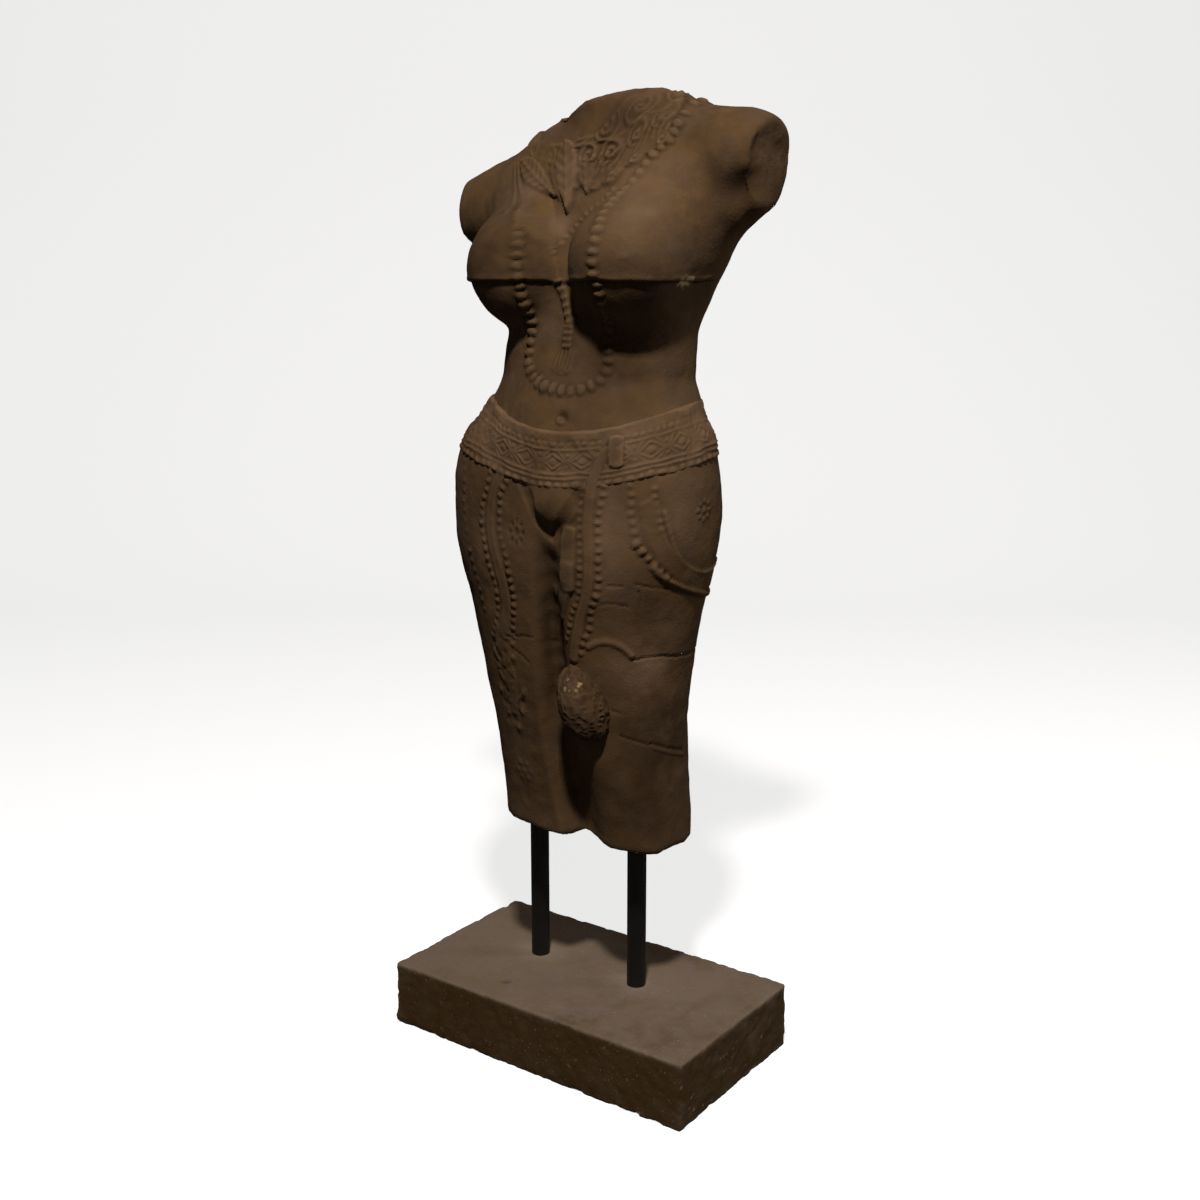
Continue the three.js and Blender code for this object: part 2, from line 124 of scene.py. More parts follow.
def unit(vectors: Points) -> Points:
    """Scale vectors to length 1."""
    return vectors / (np.linalg.norm(vectors, axis=-1, keepdims=True) + 1e-9)


def lattice_noise(p: Points, cell: float, seed: int) -> Points:
    """Smooth noise from -1 to 1: random values on a cubic lattice, blended between its corners.

    Args:
        p: Points, in millimetres.
        cell: Size of a lattice cell.
        seed: Number that picks the pattern.

    Returns:
        One value a point.
    """
    q = np.asarray(p) / cell + 1000.0
    base = np.floor(q).astype(np.int64)
    t = q - base
    t = t * t * (3.0 - 2.0 * t)
    total = np.zeros(q.shape[:-1])
    for corner in range(8):
        step = np.array([corner & 1, (corner >> 1) & 1, corner >> 2])
        k = base + step
        mixed = (k[..., 0] * 73856093) ^ (k[..., 1] * 19349663) ^ (k[..., 2] * 83492791) ^ (seed * 2654435)
        mixed = (mixed ^ (mixed >> 13)) * 1274126177
        value = ((mixed ^ (mixed >> 16)) & 65535) / 32767.5 - 1.0
        weight = np.prod(np.where(step == 1, t, 1.0 - t), axis=-1)
        total += value * weight
    return total


def rough_noise(p: Points, cell: float, seed: int, octaves: int = 3) -> Points:
    """Noise of several sizes: each next one half as large and half as strong."""
    total = np.zeros(np.shape(p)[:-1])
    for octave in range(octaves):
        total += lattice_noise(p, cell / 2**octave, seed + octave) / 2**octave
    return total


class Rows:
    """A table whose rows are blended by a monotone cubic in its first column."""

    def __init__(self, rows: list[tuple[float, ...]]) -> None:
        """Work out each row's tangent: the harmonic mean of the slopes beside it.

        Args:
            rows: Rows that start with their height, lowest first.
        """
        table = np.array(rows, float)
        self.heights = table[:, 0]
        self.values = table[:, 1:]
        slopes = np.diff(self.values, axis=0) / np.diff(self.heights)[:, None]
        before, after = slopes[:-1], slopes[1:]
        same = before * after > 0.0
        mean = 2.0 * before * after / np.where(same, before + after, 1.0)
        self.tangents = np.vstack([slopes[:1], np.where(same, mean, 0.0), slopes[-1:]])

    def at(self, height: Points) -> Points:
        """Read the table.

        Args:
            height: Heights, of any shape.

        Returns:
            The values, with the table's columns as the first axis.
        """
        h = np.clip(height, self.heights[0], self.heights[-1])
        i = np.clip(np.searchsorted(self.heights, h) - 1, 0, len(self.heights) - 2)
        span = (self.heights[i + 1] - self.heights[i])[..., None]
        t = (h - self.heights[i])[..., None] / span
        start, end = self.values[i], self.values[i + 1]
        a, b = self.tangents[i] * span, self.tangents[i + 1] * span
        rise = end - start
        value = start + t * (a + t * (3.0 * rise - 2.0 * a - b + t * (a + b - 2.0 * rise)))
        return np.moveaxis(value, -1, 0)


@dataclass(frozen=True)
class Ball:
    """A round mass: an ellipsoid."""

    centre: Trio
    radii: Trio

    def distance(self, p: Points) -> Points:
        """Distance outside it: how far past its surface, by its steepness there."""
        q, r = p - np.array(self.centre), np.array(self.radii)
        whole = np.linalg.norm(q / r, axis=-1)
        steep = np.linalg.norm(q / r**2, axis=-1) + 1e-9
        return whole * (whole - 1.0) / steep


@dataclass(frozen=True)
class Limb:
    """A long round mass, whose radius changes from its start to its end."""

    start: Trio
    end: Trio
    start_radius: float
    end_radius: float

    def distance(self, p: Points) -> Points:
        """Distance outside it: the way from its middle line, less the radius there."""
        start = np.array(self.start, float)
        run = np.array(self.end, float) - start
        q = p - start
        t = np.clip(q @ run / (run @ run), 0.0, 1.0)
        away = np.linalg.norm(q - t[..., None] * run, axis=-1)
        return away - self.start_radius - (self.end_radius - self.start_radius) * t


LEFT_SHOULDER = Limb((40, 30, 869), (196, 34, 835), 42, 42)
LEFT_STUMP = Limb((200, 34, 825), (246, 36, 822), 49, 40)
RIGHT_SHOULDER = Limb((10, 30, 849), (-150, 38, 787), 36, 40)
RIGHT_STUMP = Limb((-150, 38, 781), (-216, 40, 775), 46, 43)
LEFT_BREAST = Ball((94, -50, 711), (68, 70, 70))
LEFT_RISE = Limb((94, -50, 711), (118, 16, 795), 60, 54)
RIGHT_BREAST = Ball((-62, -50, 706), (62, 66, 68))
RIGHT_RISE = Limb((-62, -50, 706), (-86, 14, 781), 56, 50)
NECK = Limb((31, 38, 829), (40, 28, 959), 55, 53)
CHEST = Ball((14, 16, 789), (122, 52, 84))
BELLY = Ball((8, -34, 524), (92, 64, 80))
RIGHT_SEAT = Ball((-80, 62, 409), (80, 82, 96))
LEFT_SEAT = Ball((56, 62, 409), (80, 82, 96))
LAP = Ball((24, -89, 431), (36, 30, 28))


@dataclass
class Skin:
    """The torso's form without its carving."""

    trunk: Rows = field(default_factory=lambda: Rows([
        (-30, 126, 73, 4, 15, 3.0),
        (20, 126, 74, 3, 15, 3.0),
        (110, 128, 85, -5, 14, 2.6),
        (200, 141, 97, -12, 12, 2.3),
        (290, 158, 108, -14, 10, 2.2),
        (380, 178, 120, -15, 10, 2.2),
        (445, 180, 120, -15, 12, 2.2),
        (500, 169, 112, -11, 12, 2.2),
        (545, 141, 97, 0, 12, 2.2),
        (585, 126, 88, 6, 12, 2.2),
        (625, 126, 86, 9, 14, 2.2),
        (670, 138, 84, 12, 18, 2.2),
        (720, 155, 80, 20, 24, 2.2),
        (770, 173, 72, 25, 30, 2.2),
        (810, 160, 60, 16, 34, 2.2),
        (840, 120, 50, 16, 34, 2.1),
        (880, 70, 44, 20, 34, 2.0),
    ]))
    hollow: Rows = field(default_factory=lambda: Rows([
        (10, 12, 42, 42),
        (50, 4, 42, 42),
        (160, -5, 37, 34),
        (350, 6, 18, 18),
        (400, 7, 4, 15),
        (430, 8, 0, 14),
    ]))
    centre_line: Rows = field(default_factory=lambda: Rows([
        (9, 0, 17), (409, -8, 18), (589, 6, 18), (759, 10, 18), (909, 22, 18),
    ]))
    hollow_edge: float = 8.0
    cut_fall: float = 0.04
    cut_level_x: float = -10.0
    left_break: Spot = (225.0, 819.0)
    left_break_lean: float = 0.18
    right_break: Spot = (-204.0, 779.0)
    right_break_lean: float = 0.1
    neck_break: Spot = (24.0, 902.0)
    neck_break_lean: float = 0.13
    shoulder_spread: float = 112.0
    armpit_dip: float = 52.0
    reach: float = 330.0
    march: int = 56
    halvings: int = 11

    def trunk_distance(self, p: Points) -> Points:
        """Distance outside the trunk: u and v to a power, summed, against 1."""
        half_width, half_depth, cx, cy, power = self.trunk.at(p[..., 2])
        u = np.abs(p[..., 0] - cx) / half_width
        v = np.abs(p[..., 1] - cy) / half_depth
        size = (u**power + v**power + 1e-9) ** (1.0 / power)
        beyond = np.maximum(p[..., 2] - self.trunk.heights[-1], self.trunk.heights[0] - p[..., 2])
        return np.maximum((size - 1.0) * np.minimum(half_width, half_depth), beyond)

    def shoulder_distance(self, p: Points) -> Points:
        """Distance outside the shoulders, which end in a broken and a rounded stump."""
        left = smooth_join(LEFT_SHOULDER.distance(p), LEFT_STUMP.distance(p), 24)
        right = smooth_join(RIGHT_SHOULDER.distance(p), RIGHT_STUMP.distance(p), 24)
        x, z = self.left_break
        left_break = p[..., 0] - x - self.left_break_lean * (p[..., 2] - z)
        x, z = self.right_break
        right_break = -(p[..., 0] - x) - self.right_break_lean * (p[..., 2] - z)
        return smooth_join(smooth_cut(left, left_break, 6), smooth_cut(right, right_break, 14), 30)

    def breast_distance(self, p: Points) -> Points:
        """Distance outside the breasts, each an ellipsoid that runs up into the shoulder."""
        right = smooth_join(RIGHT_BREAST.distance(p), RIGHT_RISE.distance(p), 20)
        left = smooth_join(LEFT_BREAST.distance(p), LEFT_RISE.distance(p), 20)
        return np.minimum(right, left)

    def leg_hollow(self, p: Points) -> Points:
        """Depth of the hollow between the legs: a bell curve, sharper on the figure's right."""
        middle, depth, reach = self.hollow.at(p[..., 2])
        off = p[..., 0] - middle
        width = np.where(off < 0.0, self.hollow_edge, reach)
        return bell(off, width) * depth * np.where(p[..., 1] < 10.0, 0.8, 0.5)

    def distance(self, p: Points) -> Points:
        """Distance outside the whole form.

        Args:
            p: Points.

        Returns:
            One distance a point, negative inside.
        """
        d = smooth_join(self.trunk_distance(p), self.shoulder_distance(p), 44)
        d = smooth_join(d, NECK.distance(p), 18)
        d = smooth_join(d, CHEST.distance(p), 30)
        d = smooth_join(d, self.breast_distance(p), 20)
        for mass, fillet in ((BELLY, 30), (RIGHT_SEAT, 26), (LEFT_SEAT, 26), (LAP, 7)):
            d = smooth_join(d, mass.distance(p), fillet)
        d = d + self.leg_hollow(p)
        x, z = self.neck_break
        d = smooth_cut(d, p[..., 2] - z - self.neck_break_lean * (p[..., 0] - x), 6)
        return smooth_cut(d, -p[..., 2] - self.cut_fall * (p[..., 0] - self.cut_level_x), 4)

    def cast(self, origin: Points, direction: Points) -> Points:
        """Find the outermost point of the skin on each ray, by steps inwards and then halving.

        Args:
            origin: Where each ray starts, inside the form.
            direction: Each ray's direction, of length 1.

        Returns:
            One point a ray.
        """
        step = self.reach / self.march
        t = np.full(origin.shape[:-1], self.reach)
        hit = np.zeros(t.shape, bool)
        for _ in range(self.march):
            going = ~hit
            inside = self.distance(origin[going] + direction[going] * t[going][:, None]) < 0.0
            hit[going] = inside
            t[going] = np.where(inside, t[going], t[going] - step)
        low, high = t, t + step
        for _ in range(self.halvings):
            middle = (low + high) / 2.0
            inside = self.distance(origin + direction * middle[..., None]) < 0.0
            low = np.where(inside, middle, low)
            high = np.where(inside, high, middle)
        return origin + direction * low[..., None]

    def outward(self, p: Points, reach: float = 1.5) -> Points:
        """The skin's outward direction: the slope of the distance, by differences on each axis."""
        slope = [
            self.distance(p + step) - self.distance(p - step)
            for step in np.eye(3) * reach
        ]
        return unit(np.stack(slope, axis=-1))

    def settle(self, p: Points) -> Points:
        """Move points onto the skin, six times by their distance against its slope."""
        at = np.array(p, float)
        for _ in range(6):
            at = at - 0.9 * self.distance(at)[..., None] * self.outward(at)
        return at

    def from_front(self, places: list[Spot]) -> Points:
        """Skin points named by x and height, seen from the front."""
        xz = np.array(places, float)
        origin = np.column_stack([xz[:, 0], np.full(len(xz), 60.0), xz[:, 1]])
        return self.cast(origin, np.tile([0.0, -1.0, 0.0], (len(xz), 1)))

    def around(self, degrees: Points, height: Points) -> Points:
        """Skin points named by the angle round the centre line, 0 in front, and the height."""
        a = np.radians(degrees)
        cx, cy = self.centre_line.at(np.asarray(height, float))
        origin = np.stack([cx, cy, np.asarray(height, float)], axis=-1)
        return self.cast(origin, np.stack([np.sin(a), -np.cos(a), np.zeros_like(a)], axis=-1))

    def fan(self, angle: Points, travel: Points) -> tuple[Points, Points]:
        """Rays that leave the centre line level and fan out over the top and the bottom.

        They spread sideways and dip at the shoulders, so that they reach the armpits.

        Args:
            angle: Angle round the centre line, in radians.
            travel: Way up the figure, from below 0 at the bottom to above its height at the top.

        Returns:
            The rays' starts and directions.
        """
        height = np.clip(travel, FAN_LOW, FAN_HIGH)
        lift = np.where(travel < FAN_LOW, (travel - FAN_LOW) / FAN_BOTTOM, 0.0)
        lift = np.where(travel > FAN_HIGH, (travel - FAN_HIGH) / FAN_TOP, lift) * math.pi / 2.0
        cx, cy = self.centre_line.at(height)
        spread = smooth_step(609.0, 759.0, height) * self.shoulder_spread
        spread = spread * np.sin(angle) * np.cos(np.maximum(lift, 0.0))
        armpits = smooth_step(669.0, 769.0, travel) * (1.0 - smooth_step(769.0, FAN_HIGH, travel))
        dip = math.radians(self.armpit_dip) * armpits
        tilt = lift - dip * np.abs(np.sin(angle)) ** 3
        level = np.cos(tilt)
        direction = np.stack([np.sin(angle) * level, -np.cos(angle) * level, np.sin(tilt)], axis=-1)
        return np.stack([cx + spread, cy, height], axis=-1), direction


def smooth_path(points: Points, pitch: float, closed: bool = False) -> Points:
    """Points at an even pitch on a Catmull-Rom curve through given points.

    Args:
        points: Points the curve passes through.
        pitch: Distance between the points wanted.
        closed: Whether the curve returns to its start.

    Returns:
        The spaced points.
    """
    n = len(points)
    if closed:
        padded = np.vstack([points[-1:], points, points[:2]])
        spans = n
    else:
        padded = np.vstack([2 * points[:1] - points[1:2], points, 2 * points[-1:] - points[-2:-1]])
        spans = n - 1
    t = np.linspace(0.0, 1.0, 24, endpoint=False)[:, None]
    pieces = []
    for i in range(spans):
        a, b, c, d = padded[i : i + 4]
        square, cube = 2 * a - 5 * b + 4 * c - d, 3 * b - a - 3 * c + d
        pieces.append(0.5 * (2 * b + (c - a) * t + square * t**2 + cube * t**3))
    dense = np.vstack([*pieces, padded[spans + 1][None]])
    run = np.concatenate([[0.0], np.cumsum(np.linalg.norm(np.diff(dense, axis=0), axis=1))])
    steps = max(2, round(run[-1] / pitch))
    wanted = np.linspace(0.0, run[-1], steps + 1)
    spaced = np.column_stack([np.interp(wanted, run, dense[:, k]) for k in range(3)])
    return spaced[:-1] if closed else spaced


class Carving:
    """Something carved on the skin, as a height over it."""

    def height(self, p: Points) -> Points:
        """Height over the skin at each point, in millimetres."""
        raise NotImplementedError


@dataclass
class BeadRow(Carving):
    """A row of worn beads, each a half dome that is wider across the row than along it."""

    centres: Points
    radius: float
    proud: float
    seed: int = 1
    squash: float = 0.78

    def height(self, p: Points) -> Points:
        """Dome height: flat-topped, over a distance that is shorter along the row and ragged."""
        low = self.centres.min(axis=0) - self.radius * 2.0
        high = self.centres.max(axis=0) + self.radius * 2.0
        near = np.nonzero(np.all((p > low) & (p < high), axis=1))[0]
        total = np.zeros(len(p))
        worn = 0.78 + 0.34 * lattice_noise(self.centres, 13.0, self.seed)
        ahead = unit(np.gradient(self.centres, axis=0)) if len(self.centres) > 1 else np.zeros((1, 3))
        ragged = 1.0 + 0.2 * lattice_noise(p[near], self.radius * 0.9, self.seed + 7)
        lean = 0.22 * lattice_noise(self.centres, 9.0, self.seed + 3)
        for centre, forward, wear, tilt in zip(self.centres, ahead, worn, lean):
            off = p[near] - centre
            along = off @ forward
            stretched = np.sum(off * off, axis=1) + along**2 * (1.0 / (self.squash + tilt) ** 2 - 1.0)
            away = np.sqrt(stretched) / (self.radius * (0.66 + 0.34 * wear)) * ragged
            dome = self.proud * wear * np.clip(1.0 - away**3.2, 0.0, 1.0) ** 0.6
            total[near] = np.maximum(total[near], dome)
        return total


class Profile(Enum):
    """The cross-section and texture of a band."""

    FLAT = "flat"
    ROUND = "round"
    RUNGS = "rungs"
    GROOVE = "groove"
    FRINGE = "fringe"


@dataclass
class Band(Carving):
    """A strip along a path on the skin, raised or cut."""

    skin: Skin
    points: Points
    width: float
    proud: float
    profile: Profile = Profile.FLAT
    end_width: float | None = None
    closed: bool = False
    soft: float = 2.2
    period: float = 9.0
    wear: float = 0.3

    def __post_init__(self) -> None:
        """Settle the path on the skin and work out its side and forward directions."""
        self.spine = self.skin.settle(smooth_path(self.points, 4.0, self.closed))
        self.normal = self.skin.outward(self.spine)
        if self.closed:
            ahead = np.roll(self.spine, -1, axis=0) - np.roll(self.spine, 1, axis=0)
        else:
            ahead = np.gradient(self.spine, axis=0)
        self.forward = unit(ahead)
        self.side = unit(np.cross(self.forward, self.normal))
        count = len(self.spine)
        last = self.width if self.end_width is None else self.end_width
        self.half = np.linspace(self.width, last, count) / 2.0
        steps = np.linalg.norm(np.diff(self.spine, axis=0), axis=1)
        self.run = np.concatenate([[0.0], np.cumsum(steps)])

    def chart(self, p: Points) -> tuple[Points, Points, Points, Points]:
        """Coordinates along and across the band of the points near it.

        Args:
            p: Points on the skin.

        Returns:
            The indices of the near points, how far along, how far across, and the half width there.
        """
        margin = self.half.max() + 6.0
        low, high = self.spine.min(axis=0) - margin, self.spine.max(axis=0) + margin
        near = np.nonzero(np.all((p > low) & (p < high), axis=1))[0]
        best = np.full(len(near), np.inf)
        which = np.zeros(len(near), int)
        for i, s in enumerate(self.spine):
            away = np.sum((p[near] - s) ** 2, axis=1)
            closer = away < best
            best[closer] = away[closer]
            which[closer] = i
        off = p[near] - self.spine[which]
        along = self.run[which] + np.sum(off * self.forward[which], axis=1)
        across = np.sum(off * self.side[which], axis=1)
        beyond = np.maximum(-along, along - self.run[-1]) if not self.closed else np.full(len(near), -1.0)
        across = np.where(beyond > 0.0, np.hypot(across, beyond * 2.0), across)
        return near, along, across, self.half[which]

    def height(self, p: Points) -> Points:
        """Height by the profile: an eased edge, times the texture along and across the band."""
        near, along, across, half = self.chart(p)
        edge = smooth_step(0.0, self.soft, half - np.abs(across))
        u = across / half
        phase = 2.0 * math.pi * along / self.period
        if self.profile in (Profile.ROUND, Profile.GROOVE):
            shape = dome(u)
        elif self.profile is Profile.RUNGS:
            shape = edge * (0.62 + 0.38 * smooth_step(-0.2, 0.5, np.cos(phase)))
        elif self.profile is Profile.FRINGE:
            shape = edge * (0.62 + 0.38 * np.cos(2.0 * math.pi * across / self.period))
        else:
            shape = edge
        rubbed = 1.0 - self.wear * np.clip(0.5 + rough_noise(p[near], 24.0, 33, 2), 0.0, 1.0)
        total = np.zeros(len(p))
        total[near] = self.proud * shape * rubbed
        return total


@dataclass
class Flower(Carving):
    """A round flower: a middle bead in a ring of petals, raised or punched in."""

    centre: Points
    radius: float
    proud: float
    petals: int = 8
    tall: float = 1.0

    def height(self, p: Points) -> Points:
        """Height by polar angle: a dome in the middle, and a ring that swells at each petal."""
        off = (p - self.centre) / np.array([1.0, 1.0, self.tall])
        reach = np.linalg.norm(off, axis=1) / self.radius
        angle = np.arctan2(off[:, 2], np.hypot(off[:, 0], off[:, 1]) * np.sign(off[:, 0] + 1e-9))
        middle = dome(reach / 0.3)
        swell = smooth_step(-0.1, 0.6, np.cos(angle * self.petals))
        ring = bell(reach - 0.7, 0.2) * (0.15 + 0.85 * swell)
        return self.proud * np.where(reach < 1.3, np.maximum(middle, ring), 0.0)


@dataclass
class Collar(Carving):
    """The broad carved collar, from the neck down to a scalloped edge over the breasts.

    Level is the height over the collar's lower edge, and the rows are cut in it: balls and leaves at
    the bottom, a rim, then fans of arcs with a scroll in each, up to the broken neck.
    """

    edge: Rows = field(default_factory=lambda: Rows([
        (-104, 842), (-80, 830), (-52, 806), (-20, 800), (8, 798), (34, 800), (58, 806), (84, 820),
        (112, 838), (140, 852),
    ]))
    left_end: float = -88.0
    right_end: float = 128.0
    middle: float = 8.0

    def height(self, p: Points) -> Points:
        """Height by level and by the way across, with hand-cut unevenness in both."""
        x = p[:, 0] + 5.5 * lattice_noise(p, 24.0, 91) + 1.8 * lattice_noise(p, 9.0, 93)
        level = p[:, 2] - self.edge.at(p[:, 0])[0]
        level = level + 4.6 * lattice_noise(p, 21.0, 92) + 1.6 * lattice_noise(p, 8.0, 94)
        inside = smooth_step(0.0, 5.0, x - self.left_end) * smooth_step(0.0, 5.0, self.right_end - x)
        front = inside * (1.0 - smooth_step(26.0, 40.0, p[:, 1]))
        lobes = 7.0 * np.abs(np.cos(math.pi * (x - self.middle) / 27.0))
        top = np.interp(p[:, 0], [-60.0, 0.0, 40.0, 90.0], [44.0, 56.0, 64.0, 92.0])
        top = top + 4.0 * lattice_noise(p, 16.0, 98)
        plate = smooth_step(0.0, 2.6, level + lobes) * (1.0 - smooth_step(-3.0, 3.0, level - top))
        height = self.cells(x, level, 27.0, 3.0, 8.0, 8.0, 3.8) + self.leaves(x, level)
        height += self.cells(x + 12.0, level, 30.0, 34.0, 16.0, 9.0, 3.4)
        height += self.cells(x, level, 37.0, 62.0, 20.0, 8.5, 3.4)
        height += 1.6 * bell(level - 47.0, 2.0)
        worn = 0.80 - 0.6 * np.clip(rough_noise(p, 26.0, 97) + 0.2, 0.0, 1.0)
        worn = worn * (0.65 + 0.35 * smooth_step(-20.0, 30.0, p[:, 0]))
        return front * plate * (2.2 + worn * height)

    def cells(
        self,
        x: Points,
        level: Points,
        spacing: float,
        row: float,
        radius: float,
        pitch: float,
        proud: float,
    ) -> Points:
        """Curled arcs round the middle of each cell of a row.

        Args:
            x: Way across.
            level: Height over the collar's lower edge.
            spacing: Width of a cell.
            row: Level of the cells' middles.
            radius: How far the arcs reach.
            pitch: Distance from arc to arc.
            proud: Height of the arcs.

        Returns:
            One height a point.
        """
        cell = (x - self.middle) / spacing
        a = (cell - np.round(cell)) * spacing
        b = level - row
        away = np.hypot(a, b)
        curl = 0.5 + 0.5 * np.cos(np.arctan2(b, a) - 2.0 * math.pi * away / pitch)
        return proud * curl * smooth_step(0.0, radius * 0.3, radius - away)

    def leaves(self, x: Points, level: Points) -> Points:
        """Slanting leaf ribs between the balls and the rim, which lean outwards."""
        lean = x + 0.55 * (level - 20.0) * np.sign(self.middle - x)
        ribs = smooth_step(-0.3, 0.8, np.cos(2.0 * math.pi * lean / 9.0))
        row = smooth_step(8.0, 14.0, level) * (1.0 - smooth_step(31.0, 35.0, level))
        return 2.4 * ribs * row


@dataclass
class Ledge(Carving):
    """The lip of a repair: the clay under it lies back, and it stands a little proud itself."""

    level: float = 693.0
    depth: float = 3.8
    fade: float = 105.0

    def height(self, p: Points) -> Points:
        """Height by the drop under a wavering level line, fading back further down."""
        under = self.level + 1.4 * rough_noise(p, 30.0, 95, 2) - p[:, 2]
        front = 1.0 - smooth_step(10.0, 40.0, p[:, 1])
        drop = smooth_step(0.0, 2.6, under) * (1.0 - smooth_step(26.0, self.fade, under))
        lip = bell(under + 2.4, 2.6) * (0.6 + 0.6 * lattice_noise(p, 9.0, 96))
        return front * (lip - self.depth * drop)


@dataclass
class Leaf(Carving):
    """A pointed leaf that hangs down, with a rib and side veins."""

    top: Spot
    tip: Spot
    width: float
    proud: float
    veins: float = 7.0
    carved: float = 1.0

    def height(self, p: Points) -> Points:
        """Height inside the outline, whose half width is the sine of the way down to a power."""
        start, run = np.array(self.top), np.array(self.tip) - np.array(self.top)
        size = np.hypot(*run)
        q = p[:, [0, 2]] - start
        along = q @ run / size**2
        across = (q[:, 0] * run[1] - q[:, 1] * run[0]) / size
        half = self.width / 2.0 * np.sin(math.pi * np.clip(along, 0.0, 1.0) ** 0.62) ** 0.8
        edge = smooth_step(0.0, 2.5, half - np.abs(across)) * (along > 0.0) * (along < 1.0)
        rib = bell(across, 1.6)
        vein = 0.5 + 0.5 * np.cos(2.0 * math.pi * (along * size + 0.8 * np.abs(across)) / self.veins)
        shape = 0.62 + (0.2 * vein + 0.3 * rib) * self.carved
        return np.where(p[:, 1] < 40.0, self.proud * edge * shape, 0.0)


@dataclass
class Break(Carving):
    """The rough clay of a broken face, where the skin's own break plane lies."""

    normal: Trio
    middle: Trio
    spread: float
    depth: float
    seed: int
    reach: float = 9.0

    def height(self, p: Points) -> Points:
        """Height cut away: broad noise with a little fine noise, fading away from the break."""
        off = p - np.array(self.middle)
        away = -(off @ unit(np.array(self.normal)))
        around = 1.0 - smooth_step(self.spread, self.spread + 14.0, np.linalg.norm(off, axis=1))
        mask = around * (1.0 - smooth_step(0.0, self.reach, away))
        lumps = 0.5 + 0.5 * rough_noise(p, 32.0, self.seed, 3)
        grit = 0.14 * rough_noise(p, 7.0, self.seed + 9, 2)
        return -self.depth * mask * np.clip(lumps + grit, 0.0, 1.4)


@dataclass
class Dent(Carving):
    """A hollow or a lump: a bell curve about a point."""

    centre: Points
    radius: float
    proud: float

    def height(self, p: Points) -> Points:
        """Height by a bell curve of the distance."""
        away = np.linalg.norm(p - self.centre, axis=1) / self.radius
        return self.proud * np.exp(-(away**2) * 2.0)


def strongest(carvings: list[Carving], p: Points) -> Points:
    """The carved height at each point: the highest raised carving, less every cut."""
    raised = np.zeros(len(p))
    cut = np.zeros(len(p))
    for carving in carvings:
        h = carving.height(p)
        raised = np.maximum(raised, h)
        cut = cut + np.minimum(h, 0.0)
    return raised + cut


